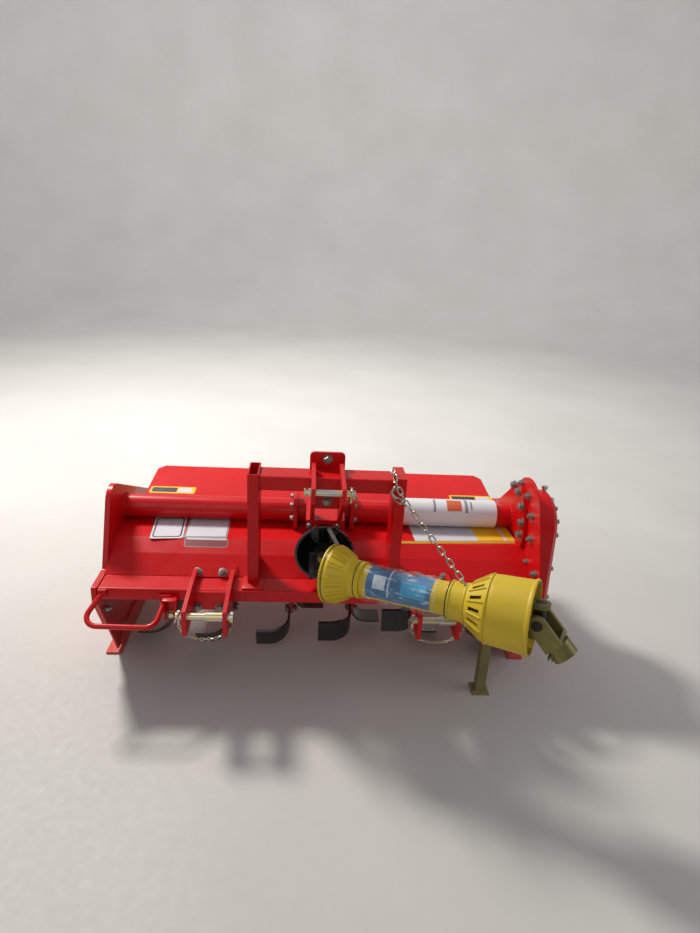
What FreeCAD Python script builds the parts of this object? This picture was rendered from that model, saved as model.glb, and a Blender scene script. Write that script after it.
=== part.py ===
import FreeCAD, Part
import math
import os
from FreeCAD import Placement, Rotation, Vector

# Rotary tiller on a three-point hitch, driven by a PTO shaft. Millimetres, +Z up, +X to the right of
# someone who faces the hitch, +Y towards the rear. In the sizes below x is taken from the hitch's centre
# line and y from the plane 100 mm behind the front bar's face; at() moves both to the part's own origin.

doc = FreeCAD.newDocument("rotary_tiller")
sheet = doc.addObject("Spreadsheet::Sheet", "Sizes")

# name, value, what it sets
SIZES = (
    ("origin_x", 36.3, "the part's origin, right of the hitch's centre line"),
    ("origin_y", 51, "the part's origin, behind the plane of y = 0"),
    ("running_gap", 0.3, "between a piece and what it seats on"),
    ("plate_inside", 684, "hitch centre line to a side plate's inner face"),
    ("plate_thick", 6, "side plate"),
    ("plate_rim", 16, "side plate's rim, turned outwards"),
    ("rim_thick", 5, "side plate's rim"),
    ("bar_front", -100, "front bar's front face"),
    ("bar_depth", 80, "front bar, front to rear"),
    ("bar_height", 40, "front bar"),
    ("bar_bottom", 310, "front bar's underside above the ground"),
    ("bar_wall", 4, "front bar and cross bar"),
    ("hood_thick", 5, "hood sheet"),
    ("crease_y", 45, "hood's front crease"),
    ("crease_z", 394, "hood's front crease"),
    ("deck_front", 100, "front of the hood's flat top"),
    ("deck_rear", 380, "rear of the hood's flat top"),
    ("tube_gap", 3, "axle tubes, above the hood's flat top"),
    ("tube_y", 250, "axle tubes' centre line"),
    ("tube_z", 464, "axle tubes' centre line"),
    ("tube_dia", 80, "axle tubes"),
    ("tube_wall", 5, "axle tubes"),
    ("tube_flange", 320, "flange at the right tube's end, its round part"),
    ("tube_flange_thick", 12, "flange at the right tube's end"),
    ("rotor_y", 165, "rotor's centre line"),
    ("rotor_z", 204, "rotor's centre line"),
    ("rotor_radius", 200, "out to the tips of the blades"),
    ("rotor_tube_dia", 76, "rotor's tube"),
    ("rotor_end_gap", 8, "rotor's tube from a side plate"),
    ("stub_dia", 40, "rotor's stubs in their bearings"),
    ("stub_out", 24, "rotor's stubs, past a side plate's inner face"),
    ("stub_hole", 60, "hole in the side plates round the stubs"),
    ("shaft_fit", 0.05, "a shaft's radial play in its bore"),
    ("flange_left", 166, "first blade flange, from the left plate"),
    ("flange_right", 157, "last blade flange, from the right plate"),
    ("flange_dia", 190, "blade flanges"),
    ("flange_thick", 8, "blade flanges"),
    ("blade_thick", 7, "blades"),
    ("blade_width", 58, "blades, across the cutting edge"),
    ("blade_reach", 112, "blade's wing beside its flange"),
    ("blade_bend", 62, "inside of the bend from a blade's shank to its wing"),
    ("blade_tilt", 30, "degrees that a blade's wing leans in behind its cutting edge"),
    ("blade_phase", 177, "degrees that the first flange's blades are turned"),
    ("blade_lag", 18.5, "degrees from one flange's blades to the next flange's"),
    ("upright_x", 219, "hitch centre line to a mast upright's middle"),
    ("upright_front", -60, "mast uprights' front face"),
    ("upright_depth", 100, "mast uprights, front to rear"),
    ("upright_width", 33, "mast uprights, side to side"),
    ("upright_wall", 4, "mast uprights"),
    ("mast_top", 720, "top of the mast uprights"),
    ("cross_top", 711, "top of the cross bar"),
    ("cross_height", 45, "cross bar"),
    ("cross_front", -50, "cross bar's front face"),
    ("cross_depth", 80, "cross bar, front to rear"),
    ("top_gap", 72, "between the top link plates"),
    ("top_plate", 12, "top link plates"),
    ("stay_top", 560, "top of the flat bar from the gearbox to the bracket"),
    ("stay_width", 120, "flat bar from the gearbox to the bracket"),
    ("top_pin_y", -183, "top link pin"),
    ("top_pin_z", 722, "top link pin"),
    ("top_pin_dia", 19, "top link pin"),
    ("lower_spread", 683, "between the lower link pins' middles"),
    ("ear_gap", 104, "between the two ears of a lower bracket"),
    ("ear_thick", 12, "lower bracket's ears"),
    ("lower_pin_y", -214, "lower link pins"),
    ("lower_pin_z", 334, "lower link pins"),
    ("lower_pin_dia", 22, "lower link pins"),
    ("lower_collar_dia", 28, "thick part of the lower link pins"),
    ("lower_collar", 52, "length of the thick part"),
    ("skid_width", 50, "skid's runner"),
    ("skid_thick", 8, "skid's runner and web"),
    ("skid_front", 35, "skid's front end"),
    ("skid_rear", 560, "skid's rear end"),
    ("skid_web", 70, "height of the skid's web"),
    ("board_thick", 4, "tailboard"),
    ("board_half", 660, "half the tailboard's width"),
    ("board_length", 250, "tailboard, from its hinge"),
    ("board_rise", 5, "degrees that the parked tailboard rises to the rear"),
    ("hinge_y", 392, "tailboard's hinge line"),
    ("hinge_z", 434, "tailboard's hinge line"),
    ("hinge_dia", 12, "tailboard's hinge pin"),
    ("box_half", 62, "half the gearbox's body, side to side"),
    ("box_front", 110, "gearbox's front face"),
    ("box_size", 150, "gearbox's body, top to bottom"),
    ("box_flange", 150, "gearbox's side flanges, top to bottom"),
    ("box_flange_x", 104, "outer face of the gearbox's side flanges"),
    ("box_flange_thick", 14, "gearbox's side flanges"),
    ("case_thick", 108, "side drive case, side to side"),
    ("case_top_radius", 121, "side drive case about its upper middle"),
    ("case_ahead", 35, "side drive case's upper middle, ahead of the axle tube"),
    ("case_drop", 9, "side drive case's upper middle, below the axle tube"),
    ("case_low_radius", 92, "side drive case about the rotor"),
    ("case_edge", 16, "chamfer round the side drive case"),
    ("shield_radius", 88, "PTO shield"),
    ("shield_front", -62, "PTO shield's front edge"),
    ("shield_wall", 3, "PTO shield"),
    ("shield_back", 46, "PTO shield's back, its radius"),
    ("nose_dia", 84, "gearbox's front bearing housing"),
    ("nose_length", 30, "gearbox's front bearing housing, ahead of the body"),
    ("input_dia", 35, "input shaft"),
    ("joint_y", -165, "centre of the PTO shaft's inner joint"),
    ("shaft_x", 519, "PTO shaft's outer end, right of its inner joint"),
    ("shaft_y", -285, "PTO shaft's outer end, ahead of its inner joint"),
    ("shaft_z", 50, "PTO shaft's outer end, above its inner joint"),
    ("outer_joint", 612, "from one universal joint's centre to the other"),
    ("guard_dia", 92, "PTO guard tube"),
    ("guard_wall", 3, "PTO guard"),
    ("cone_dia", 168, "inner guard cone's mouth"),
    ("cup_dia", 196, "outer guard cup's mouth"),
    ("cup_short", 12, "outer cup's mouth, short of the outer joint's centre"),
    ("cup_depth", 171.7, "outer cup, mouth to collar"),
    ("collar_length", 50, "collar between guard tube and outer cup"),
    ("cap_dia", 28, "universal joint's bearing caps"),
    ("yoke_gap", 66, "between a yoke's two cheeks"),
    ("yoke_thick", 13, "a yoke's cheeks"),
    ("yoke_half", 24, "half a yoke cheek's width, and its rounded end"),
    ("yoke_reach", 58, "joint centre to the root of a yoke"),
    ("hub_dia", 66, "outer yoke's splined hub"),
    ("hub_length", 38, "outer yoke's splined hub, past the fork"),
    ("swing_side", 0, "degrees that the outer cross is turned on the drive shaft"),
    ("swing_down", 48, "degrees that the outer yoke hangs down"),
    ("drive_dia", 44, "drive shaft inside its guard"),
    ("chain_links", 16, "links of the chain that holds the PTO shaft up"),
    ("link_width", 17, "a link of that chain"),
    ("link_wire", 4.5, "a link of that chain"),
    ("stand_out", 188.5, "parking stand, outside the right lower pin's middle"),
    ("stand_size", 30, "parking stand's square bar"),
    ("stand_top", 400, "top of the parking stand"),
    ("stand_foot", 56, "parking stand's foot"),
    ("screw_dia", 12, "parking stand's clamping screw"),
    ("linch_dia", 9, "linch pins"),
    ("linch_ring", 34, "linch pins' rings, middle to middle of the wire"),
    ("linch_wire", 5, "linch pins' rings"),
    ("breather_in", 84.7, "breather, from the side drive case's inner face"),
    ("breather_lean", 4, "degrees that the breather leans to the rear"),
    ("sleeve_end", 72, "document sleeve's right end, from the right plate"),
    ("sleeve_length", 350, "document sleeve"),
    ("sleeve_wall", 9, "document sleeve's paper, beyond the tube's radius"),
    ("hoop_dia", 16, "guard hoop's round bar"),
    ("hoop_out", 24, "guard hoop's outer corner, past the side plate"),
    ("hoop_in", 152.5, "guard hoop's inner corner, outside the lower pin's middle"),
    ("hoop_reach", 100, "guard hoop, ahead of the front bar"),
    ("hoop_drop", 64, "guard hoop, below the front bar's top"),
)

for row, (name, value, note) in enumerate(SIZES, 1):
    sheet.set("A%d" % row, name)
    sheet.set("B%d" % row, str(value))
    sheet.setAlias("B%d" % row, name)
    sheet.set("C%d" % row, note)
doc.recompute()


class Values:
    """Reads a size from the sheet by its name."""

    def __getattr__(self, name):
        return float(sheet.get(name))


size = Values()
parts = []


def at(x, y, z):
    """A point of the part's own frame."""
    return Vector(x - size.origin_x, y - size.origin_y, z)


def deck_top():
    """Height of the hood's flat top, which lies just under the axle tubes."""
    return size.tube_z - size.tube_dia / 2 - size.tube_gap


def sheet_name(text):
    """Puts the sheet's name before each size in an expression."""
    words = text.replace("(", " ( ").replace(")", " ) ").split()
    names = [row[0] for row in SIZES]
    return " ".join("Sizes." + word if word in names else word for word in words)


def move(thing, x, y, z, turn=None):
    """Places a piece by expressions for x, y and z, each less the origin's place."""
    if turn is not None:
        thing.Placement = Placement(Vector(), turn)
    thing.setExpression(".Placement.Base.x", sheet_name("(%s) - origin_x" % x))
    thing.setExpression(".Placement.Base.y", sheet_name("(%s) - origin_y" % y))
    thing.setExpression(".Placement.Base.z", sheet_name("(%s)" % z))
    return thing


def keep(thing, label):
    """Names a finished sub-part."""
    thing.Label = label
    parts.append(thing)
    return thing


def plane_of(body, role):
    return next(item for item in body.Origin.OriginFeatures if item.Role == role)


def rounded(corners):
    """Lines and arcs round a closed outline. A corner is (u, v) or (u, v, radius)."""
    count = len(corners)
    spots = [Vector(c[0], c[1], 0) for c in corners]
    radii = [c[2] if len(c) > 2 else 0 for c in corners]
    ends = []
    edges = []
    for i in range(count):
        here = spots[i]
        back = (spots[i - 1] - here).normalize()
        ahead = (spots[(i + 1) % count] - here).normalize()
        if radii[i] == 0:
            ends.append((here, here, None))
            continue
        half = back.getAngle(ahead) / 2
        reach = radii[i] / math.tan(half)
        middle = here + (back + ahead).normalize() * (radii[i] / math.sin(half))
        crown = middle + (here - middle).normalize() * radii[i]
        ends.append((here + back * reach, here + ahead * reach, crown))
    for i in range(count):
        first, last, crown = ends[i]
        if crown is not None:
            edges.append(Part.Arc(first, crown, last))
        after = ends[(i + 1) % count][0]
        if (after - last).Length > 1e-6:
            edges.append(Part.LineSegment(last, after))
    return edges


def circle(u, v, radius):
    return [Part.Circle(Vector(u, v, 0), Vector(0, 0, 1), radius)]


def sketch(body, name, role, *outlines):
    """A sketch on one of the body's own planes."""
    item = body.newObject("Sketcher::SketchObject", name)
    item.AttachmentSupport = [(plane_of(body, role), "")]
    item.MapMode = "FlatFace"
    for outline in outlines:
        for edge in outline:
            item.addGeometry(edge, False)
    return item


def new_body(name):
    return doc.addObject("PartDesign::Body", name)


def pad(body, name, role, length, *outlines, both=False, back=False):
    """Pads outlines by a length that is bound to the sheet."""
    item = body.newObject("PartDesign::Pad", name)
    item.Profile = sketch(body, name + "_outline", role, *outlines)
    item.Length = 1
    item.setExpression("Length", sheet_name(str(length)))
    if both:
        item.Midplane = True
    if back:
        item.Reversed = True
    return item


def pocket(body, name, role, length, *outlines, both=False, back=False, through=False):
    """Cuts outlines out of a body and checks that something went."""
    doc.recompute()
    before = body.Shape.Volume
    item = body.newObject("PartDesign::Pocket", name)
    item.Profile = sketch(body, name + "_outline", role, *outlines)
    if through:
        item.Type = "ThroughAll"
    else:
        item.setExpression("Length", sheet_name(str(length)))
    item.Midplane = both
    item.Reversed = back
    doc.recompute()
    if body.Shape.Volume > before - 1e-3:
        raise RuntimeError("%s cut nothing" % name)
    return item


def fuse(name, *pieces):
    item = doc.addObject("Part::MultiFuse", name)
    item.Shapes = list(pieces)
    item.Refine = True
    return item


def cut(name, base, tool):
    item = doc.addObject("Part::Cut", name)
    item.Base = base
    item.Tool = tool
    return item


def cylinder(name, radius, height):
    item = doc.addObject("Part::Cylinder", name)
    item.setExpression("Radius", sheet_name(str(radius)))
    item.setExpression("Height", sheet_name(str(height)))
    return item


def box(name, length, width, height):
    item = doc.addObject("Part::Box", name)
    item.setExpression("Length", sheet_name(str(length)))
    item.setExpression("Width", sheet_name(str(width)))
    item.setExpression("Height", sheet_name(str(height)))
    return item


def shape_part(name, shape, place=None):
    """A piece made with Part's own functions where neither a body nor a primitive fits."""
    item = doc.addObject("Part::Feature", name)
    item.Shape = shape
    if place is not None:
        item.Placement = place
    return item


ALONG_X = Rotation(Vector(0, 1, 0), 90)
ALONG_FRONT = Rotation(Vector(1, 0, 0), 90)


# front bar

def front_bar():
    """Rectangular tube from side plate to side plate, its section padded along X."""
    body = new_body("front_bar")
    outer = rounded([(0, 0, 5), (size.bar_depth, 0, 5), (size.bar_depth, size.bar_height, 5),
                     (0, size.bar_height, 5)])
    w = size.bar_wall
    inner = rounded([(w, w, 2), (size.bar_depth - w, w, 2), (size.bar_depth - w, size.bar_height - w, 2),
                     (w, size.bar_height - w, 2)])
    pad(body, "section", "YZ_Plane", "plate_inside * 2", outer, inner)
    move(body, "0 - plate_inside", "bar_front", "bar_bottom")
    keep(body, "front_bar")


# hood

def hood_line():
    """Outer face of the hood from the front bar to the tailboard's hinge, as (y, z)."""
    bar_rear = size.bar_front + size.bar_depth
    bar_top = size.bar_bottom + size.bar_height
    return [(bar_rear + size.running_gap, bar_top - 24), (bar_rear + size.running_gap, bar_top),
            (size.crease_y, size.crease_z), (size.deck_front, deck_top()), (size.deck_rear, deck_top())]


def inset(points, depth):
    """The same line moved sideways to its right, mitred at the corners."""
    moved = []
    for i in range(len(points)):
        here = Vector(points[i][0], points[i][1], 0)
        sides = []
        for a, b in ((i - 1, i), (i, i + 1)):
            if a < 0 or b >= len(points):
                continue
            run = Vector(points[b][0] - points[a][0], points[b][1] - points[a][1], 0).normalize()
            sides.append(Vector(run.y, -run.x, 0))
        normal = sides[0] if len(sides) == 1 else (sides[0] + sides[1]).normalize()
        spot = here + normal * (depth / normal.dot(sides[0]))
        moved.append((spot.x, spot.y))
    return moved


def hood():
    """Folded sheet over the rotor, its section padded from plate to plate."""
    body = new_body("hood")
    line = hood_line()
    under = inset(line, size.hood_thick)
    pad(body, "section", "YZ_Plane", "( plate_inside - running_gap ) * 2", rounded(line + under[::-1]), both=True)
    move(body, "0", "0", "0")
    keep(body, "hood")


# side plates

def plate_outline(top):
    """Outline of a side plate as (y, z), with the corners of its top given."""
    front = size.bar_front - 4
    bar_top = size.bar_bottom + size.bar_height
    return [(42, 20), (size.skid_rear - 65, 20), (590, 72, 20), (560, 392, 20)] + top + [
        (front, bar_top + 2, 6), (front, size.bar_bottom - 8, 12)]


def flat_plate(name, top):
    """Flat right plate, which carries the side drive case."""
    body = new_body(name)
    pad(body, "plate", "YZ_Plane", "plate_thick", rounded(plate_outline(top)))
    pocket(body, "stub_hole", "YZ_Plane", "plate_thick * 3", circle(size.rotor_y, size.rotor_z, size.stub_hole / 2),
           both=True)
    return move(body, "plate_inside", "0", "0")


def side_plate(name, top, hand):
    """Flat plate with a rim turned outwards: padded to the rim's width, then pocketed to its web."""
    body = new_body(name)
    outline = plate_outline(top)
    pad(body, "block", "YZ_Plane", "plate_rim", rounded(outline), back=hand < 0)
    pocket(body, "stub_hole", "YZ_Plane", "plate_rim * 3", circle(size.rotor_y, size.rotor_z, size.stub_hole / 2),
           both=True)
    line = [(c[0], c[1]) for c in outline]
    inner = inset(line + line[:1], -size.rim_thick)[:-1]
    open_foot = [(inner[0][0], 10), (inner[1][0], 10)] + inner[1:]
    radii = [0, 0, 0] + [max(c[2] - size.rim_thick, 1) if len(c) > 2 else 0 for c in outline[2:]]
    open_foot = [(u, v, r) for (u, v), r in zip(open_foot, radii)]
    cutter = new_body(name + "_cutter")
    pad(cutter, "space", "YZ_Plane", "plate_rim", rounded(open_foot), back=hand < 0)
    cutter.Placement = Placement(Vector(hand * size.plate_thick, 0, 0), Rotation())
    plate = cut(name + "_pressed", body, cutter)
    x = "plate_inside" if hand > 0 else "0 - plate_inside"
    return move(plate, x, "0", "0")


def side_plates():
    bar_top = size.bar_bottom + size.bar_height
    left_top = [(114, size.tube_z + 142, 60), (6, bar_top + 4, 10)]
    right_top = [(400, size.tube_z + 3, 30), (79, size.tube_z + 273, 136)]
    keep(side_plate("left_plate", left_top, -1), "left_side_plate")
    keep(flat_plate("right_plate", right_top), "right_side_plate")


# skids

def skid(name, hand):
    """Angle section: its upright leg inside the side plate, its runner turned outwards on the ground."""
    body = new_body(name + "_runner")
    rear = size.skid_rear
    runner = rounded([(size.skid_front, 0, 3), (rear - 60, 0), (rear + 10, 36), (rear + 6, 43),
                      (rear - 62, size.skid_thick), (size.skid_front, size.skid_thick, 3)])
    pad(body, "runner", "YZ_Plane", "skid_width", runner, both=True)
    body.Placement = Placement(Vector(hand * (size.skid_width / 2 - size.skid_thick), 0, 0), Rotation())
    web = new_body(name + "_web")
    outline = rounded([(60, 4), (rear - 70, 4), (rear - 90, size.skid_web, 15), (90, size.skid_web, 15)])
    pad(web, "web_plate", "YZ_Plane", "skid_thick", outline, both=True)
    shift = -hand * (size.skid_thick / 2)
    web.Placement = Placement(Vector(shift, 0, 0), Rotation())
    whole = fuse(name + "_whole", body, web)
    move(whole, "%d * ( plate_inside - running_gap )" % hand, "0", "0")
    keep(whole, name)


# axle tubes and gearbox

def axle_tube(name, hand):
    """Round tube from the gearbox's flange to the side plate, with a flange at its outer end."""
    body = new_body(name + "_pipe")
    pad(body, "section", "YZ_Plane", "plate_inside - box_flange_x - running_gap * 2",
        circle(0, 0, size.tube_dia / 2), circle(0, 0, size.tube_dia / 2 - size.tube_wall), back=hand < 0)
    if hand > 0:
        flange = new_body(name + "_flange")
        r = size.tube_flange / 2
        low = deck_top() + size.running_gap - size.tube_z
        turned = [Vector(r * math.cos(math.radians(a)), r * math.sin(math.radians(a)), 0) for a in (105, 150)]
        first = Vector(-math.sqrt(r * r - low * low), low, 0)
        corners = [first, turned[0], Vector(125, 13, 0), Vector(125, low, 0), first]
        edges = [Part.Arc(first, turned[1], turned[0])]
        edges += [Part.LineSegment(corners[i], corners[i + 1]) for i in (1, 2, 3)]
        pad(flange, "plate", "YZ_Plane", "tube_flange_thick", edges, circle(0, 0, size.tube_dia / 2 - 1),
            back=True)
        flange.setExpression(".Placement.Base.x", sheet_name("plate_inside - box_flange_x - running_gap * 2"))
        body = fuse(name + "_whole", body, flange)
    move(body, "%d * ( box_flange_x + running_gap )" % hand, "tube_y", "tube_z")
    keep(body, name)


def gearbox():
    """Cast body that stands on the hood, its side flanges and its bored front bearing housing."""
    body = new_body("gearbox_body")
    half = size.box_size / 2
    low = deck_top() + size.running_gap - size.tube_z
    pad(body, "block", "YZ_Plane", "box_half * 2",
        rounded([(-half, low, 8), (half, low, 8), (half, half, 22), (-half, half, 22)]), both=True)
    flange = new_body("gearbox_flange")
    edge = size.box_flange / 2
    pad(flange, "plate", "YZ_Plane", "box_flange_x * 2",
        rounded([(-edge, low, 8), (edge, low, 8), (edge, edge, 30), (-edge, edge, 30)]), both=True)
    between = new_body("gearbox_between")
    pad(between, "space", "YZ_Plane", "( box_flange_x - box_flange_thick ) * 2", circle(0, 0, 140),
        circle(0, 0, -low - 1), both=True)
    sides = cut("gearbox_sides", flange, between)
    nose = cylinder("gearbox_nose", "nose_dia / 2", "tube_y - box_front + nose_length")
    nose.Placement = Placement(Vector(0, 0, 0), ALONG_FRONT)
    bore = cylinder("gearbox_bore", "input_dia / 2 + shaft_fit", "nose_length + 10")
    bore.Placement = Placement(Vector(0, -(size.tube_y - size.box_front) + 10, 0), ALONG_FRONT)
    whole = cut("gearbox_bored", fuse("gearbox_whole", body, sides, nose), bore)
    move(whole, "0", "tube_y", "tube_z")
    keep(whole, "gearbox")


# side drive case

def drive_case():
    """Case over the side drive: two round ends and tangents, padded and chamfered on its outer edge."""
    body = new_body("side_drive_case")
    big = size.case_top_radius
    small = size.case_low_radius
    top = Vector(size.tube_y - size.case_ahead, size.tube_z - size.case_drop, 0)
    low = Vector(size.rotor_y, size.rotor_z, 0)
    run = low - top
    span = run.Length
    run.normalize()
    lean = math.acos((big - small) / span)
    sides = []
    for sign in (1, -1):
        normal = Rotation(Vector(0, 0, 1), math.degrees(sign * lean)).multVec(run)
        sides.append((top + normal * big, low + normal * small))
    outline = [Part.LineSegment(sides[0][0], sides[0][1]),
               Part.Arc(sides[0][1], low + run * small, sides[1][1]),
               Part.LineSegment(sides[1][1], sides[1][0]),
               Part.Arc(sides[1][0], top - run * big, sides[0][0])]
    first = pad(body, "shell", "YZ_Plane", "case_thick", outline)
    doc.recompute()
    edges = ["Edge%d" % (i + 1) for i, edge in enumerate(body.Shape.Edges)
             if min(v.X for v in edge.Vertexes) > size.case_thick - 0.01]
    chamfer = body.newObject("PartDesign::Chamfer", "outer_edge")
    chamfer.Base = (first, edges)
    chamfer.setExpression("Size", sheet_name("case_edge"))
    pocket(body, "bearing_bore", "YZ_Plane", "( stub_out - plate_thick ) * 2",
           circle(size.rotor_y, size.rotor_z, size.stub_dia / 2 + size.shaft_fit), both=True)
    move(body, "plate_inside + plate_thick + running_gap", "0", "0")
    keep(body, "side_drive_case")


# mast

def upright(name, hand, capped):
    """Rectangular tube that stands on the front bar and follows the hood's front slope."""
    body = new_body(name)
    front = size.upright_front
    rear = front + size.upright_depth
    bar_rear = size.bar_front + size.bar_depth
    bar_top = size.bar_bottom + size.bar_height
    slope = (size.crease_z - bar_top) / (size.crease_y - bar_rear - size.running_gap)
    foot = bar_top + size.running_gap
    rear_foot = foot + (rear - bar_rear - size.running_gap) * slope + 0.1
    outline = rounded([(front, foot), (bar_rear, foot), (rear, rear_foot), (rear, size.mast_top),
                       (front, size.mast_top)])
    pad(body, "outside", "YZ_Plane", "upright_width", outline, both=True)
    w = size.upright_wall
    lid = size.mast_top - w if capped else size.mast_top + 1
    hollow = rounded([(front + w, foot - 1), (bar_rear - w, foot - 1), (rear - w, rear_foot - w * slope - 1),
                      (rear - w, lid), (front + w, lid)])
    pocket(body, "inside", "YZ_Plane", "upright_width - upright_wall * 2", hollow, both=True)
    move(body, "%d * upright_x" % hand, "0", "0")
    keep(body, name)


def cross_bar():
    """Rectangular tube between the uprights."""
    body = new_body("cross_bar")
    w = size.bar_wall
    outer = rounded([(0, 0, 5), (size.cross_depth, 0, 5), (size.cross_depth, size.cross_height, 5),
                     (0, size.cross_height, 5)])
    inner = rounded([(w, w, 2), (size.cross_depth - w, w, 2), (size.cross_depth - w, size.cross_height - w, 2),
                     (w, size.cross_height - w, 2)])
    pad(body, "section", "YZ_Plane", "( upright_x - upright_width / 2 - running_gap ) * 2", outer, inner,
        both=True)
    move(body, "0", "cross_front", "cross_top - cross_height")
    keep(body, "cross_bar")


def top_link_bracket():
    """Two plates with the top link pin's holes, which run down to the stay below, joined by a web."""
    front = size.top_pin_y - 24
    top = size.top_pin_z + 20
    foot = size.stay_top + size.running_gap
    under = size.cross_top - size.cross_height - size.running_gap
    over = size.cross_top + size.running_gap
    rear = size.cross_front + size.cross_depth
    pin = size.top_pin_dia / 2 + 0.1
    cheeks = []
    for hand in (-1, 1):
        body = new_body("top_plate")
        outline = rounded([(front, size.top_pin_z - 24, 8), (-20, foot), (20, foot),
                           (rear - 10, under), (size.cross_front - size.running_gap, under),
                           (size.cross_front - size.running_gap, over), (rear - 20, over), (rear - 30, top, 8),
                           (front, top, 10)])
        pad(body, "plate", "YZ_Plane", "top_plate", outline, circle(size.top_pin_y, size.top_pin_z, pin),
            both=True)
        body.Placement = Placement(Vector(hand * (size.top_gap + size.top_plate) / 2, 0, 0), Rotation())
        cheeks.append(body)
    web = box("top_web", "top_gap + 2", "top_plate", "50")
    web.Placement = Placement(Vector(-(size.top_gap + 2) / 2, size.cross_front + 4, under - 55), Rotation())
    whole = fuse("top_link_whole", *cheeks, web)
    move(whole, "0", "0", "0")
    keep(whole, "top_link_bracket")


def gearbox_stay():
    """Flat bar from the gearbox's top to below the bracket, its front edge turned down over the PTO shield."""
    body = new_body("stay_bar")
    top = size.stay_top
    low = top - 10
    seat = size.tube_z + size.box_size / 2 + size.running_gap
    rear = size.tube_y + 50
    outline = rounded([(-22, top), (-22, low - 5), (-12, low - 5), (-12, low), (rear - 100, low),
                       (rear - 100, seat), (rear - 75, seat), (rear - 75, low), (rear - 25, low),
                       (rear - 25, seat), (rear, seat), (rear, top)])
    pad(body, "bar", "YZ_Plane", "stay_width", outline, both=True)
    lips = []
    half = size.stay_width / 2
    for side in (-1, 1):
        lip = new_body("stay_lip")
        pad(lip, "lip", "XZ_Plane", "10", rounded([(side * half, top), (side * half, low - 20),
            (side * (half - 16), low - 20), (side * (half - 32), low - 4), (side * (half - 32), top)]))
        lip.Placement = Placement(Vector(0, -12, 0), Rotation())
        lips.append(lip)
    whole = fuse("stay_whole", body, *lips)
    move(whole, "0", "0", "0")
    keep(whole, "gearbox_stay")


def back_plate():
    """Plate with rounded corners that stands behind the cross bar."""
    body = new_body("mast_back_plate")
    outline = rounded([(-54, -90, 14), (54, -90, 14), (54, 8, 14), (-54, 8, 14)])
    pad(body, "plate", "XZ_Plane", "10", outline, circle(0, -14, 7), back=True)
    move(body, "0", "cross_front + cross_depth + running_gap", "cross_top + 44")
    keep(body, "mast_back_plate")


def round_pin(name, place, steps, hole_x):
    """A pin along X, revolved from steps of (from, to, diameter), with a cross hole for its linch pin."""
    body = new_body(name)
    corners = [(steps[0][0], 0)]
    for start, stop, width in steps:
        corners.append((start, width / 2))
        corners.append((stop, width / 2))
    corners.append((steps[-1][1], 0))
    turned = body.newObject("PartDesign::Revolution", "turned")
    profile = sketch(body, "turned_outline", "XY_Plane", rounded(corners))
    turned.Profile = profile
    turned.ReferenceAxis = (profile, ["H_Axis"])
    turned.Angle = 360
    pocket(body, "linch_hole", "XY_Plane", "200", circle(hole_x, 0, size.linch_dia / 2 + 0.1), both=True)
    move(body, *place)
    keep(body, name)


def hitch_pins():
    """Top link pin and both lower link pins, each with its head at the right."""
    half = size.top_gap / 2 + size.top_plate
    round_pin("top_link_pin", ("0", "top_pin_y", "top_pin_z"),
              [(-half - 20, -half - 16, 26), (-half - 16, -half - 8, 17), (-half - 8, -half - 1, 26),
               (-half - 1, half + 26, size.top_pin_dia)], half + 14)
    gap = size.ear_gap / 2
    out = gap + size.ear_thick
    thin = size.lower_pin_dia
    for name, sign in (("left_hitch_pin", "-"), ("right_hitch_pin", "")):
        steps = [(-out - 20, gap - size.lower_collar, thin), (gap - size.lower_collar, gap - 0.5,
                 size.lower_collar_dia), (gap - 0.5, out + 8, thin), (out + 8, out + 17, 34)]
        round_pin(name, ("0 %s lower_spread / 2" % (sign or "+"), "lower_pin_y", "lower_pin_z"), steps,
                  -out - 11)


def hitch_bracket(name, hand):
    """Two ears that clamp round the front bar, with a plate behind it and one below its front."""
    front = size.lower_pin_y - 22
    bar_rear = size.bar_front + size.bar_depth
    bar_top = size.bar_bottom + size.bar_height
    gap = size.running_gap
    hole = size.lower_pin_dia / 2 + 0.1
    pieces = []
    for side in (-1, 1):
        body = new_body(name + "_ear")
        outline = rounded([(front, size.lower_pin_z - 56, 8), (front + 30, size.lower_pin_z - 58, 8),
                           (size.bar_front - gap, size.bar_bottom - 26), (size.bar_front - gap, bar_top + gap),
                           (bar_rear, bar_top + gap), (bar_rear, bar_top + 30, 6),
                           (size.bar_front + 10, bar_top + 32, 30), (front, size.lower_pin_z + 28, 6)])
        pad(body, "ear", "YZ_Plane", "ear_thick", outline, circle(size.lower_pin_y, size.lower_pin_z, hole),
            both=True)
        body.Placement = Placement(Vector(side * (size.ear_gap + size.ear_thick) / 2, 0, 0), Rotation())
        pieces.append(body)
    lower = box(name + "_lower", "ear_gap + 2", "8", "bar_height + 22")
    lower.Placement = Placement(Vector(-(size.ear_gap + 2) / 2, size.bar_front - gap - 8, size.bar_bottom - 24),
                                Rotation())
    upper = new_body(name + "_upper")
    slope = Vector(size.crease_y - bar_rear - gap, size.crease_z - bar_top, 0).normalize()
    lift = Vector(-slope.y, slope.x, 0)
    start = Vector(bar_rear + gap, bar_top, 0) + lift * gap
    stops = [start, start + slope * 36, start + slope * 36 + lift * 8, start - slope * 6 + lift * 8]
    pad(upper, "plate", "YZ_Plane", "ear_gap + ear_thick * 2 + 8", rounded([(v.x, v.y) for v in stops]),
        both=True)
    whole = fuse(name + "_whole", *pieces, lower, upper)
    move(whole, "%d * lower_spread / 2" % hand, "0", "0")
    keep(whole, name)


# rotor

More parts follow.
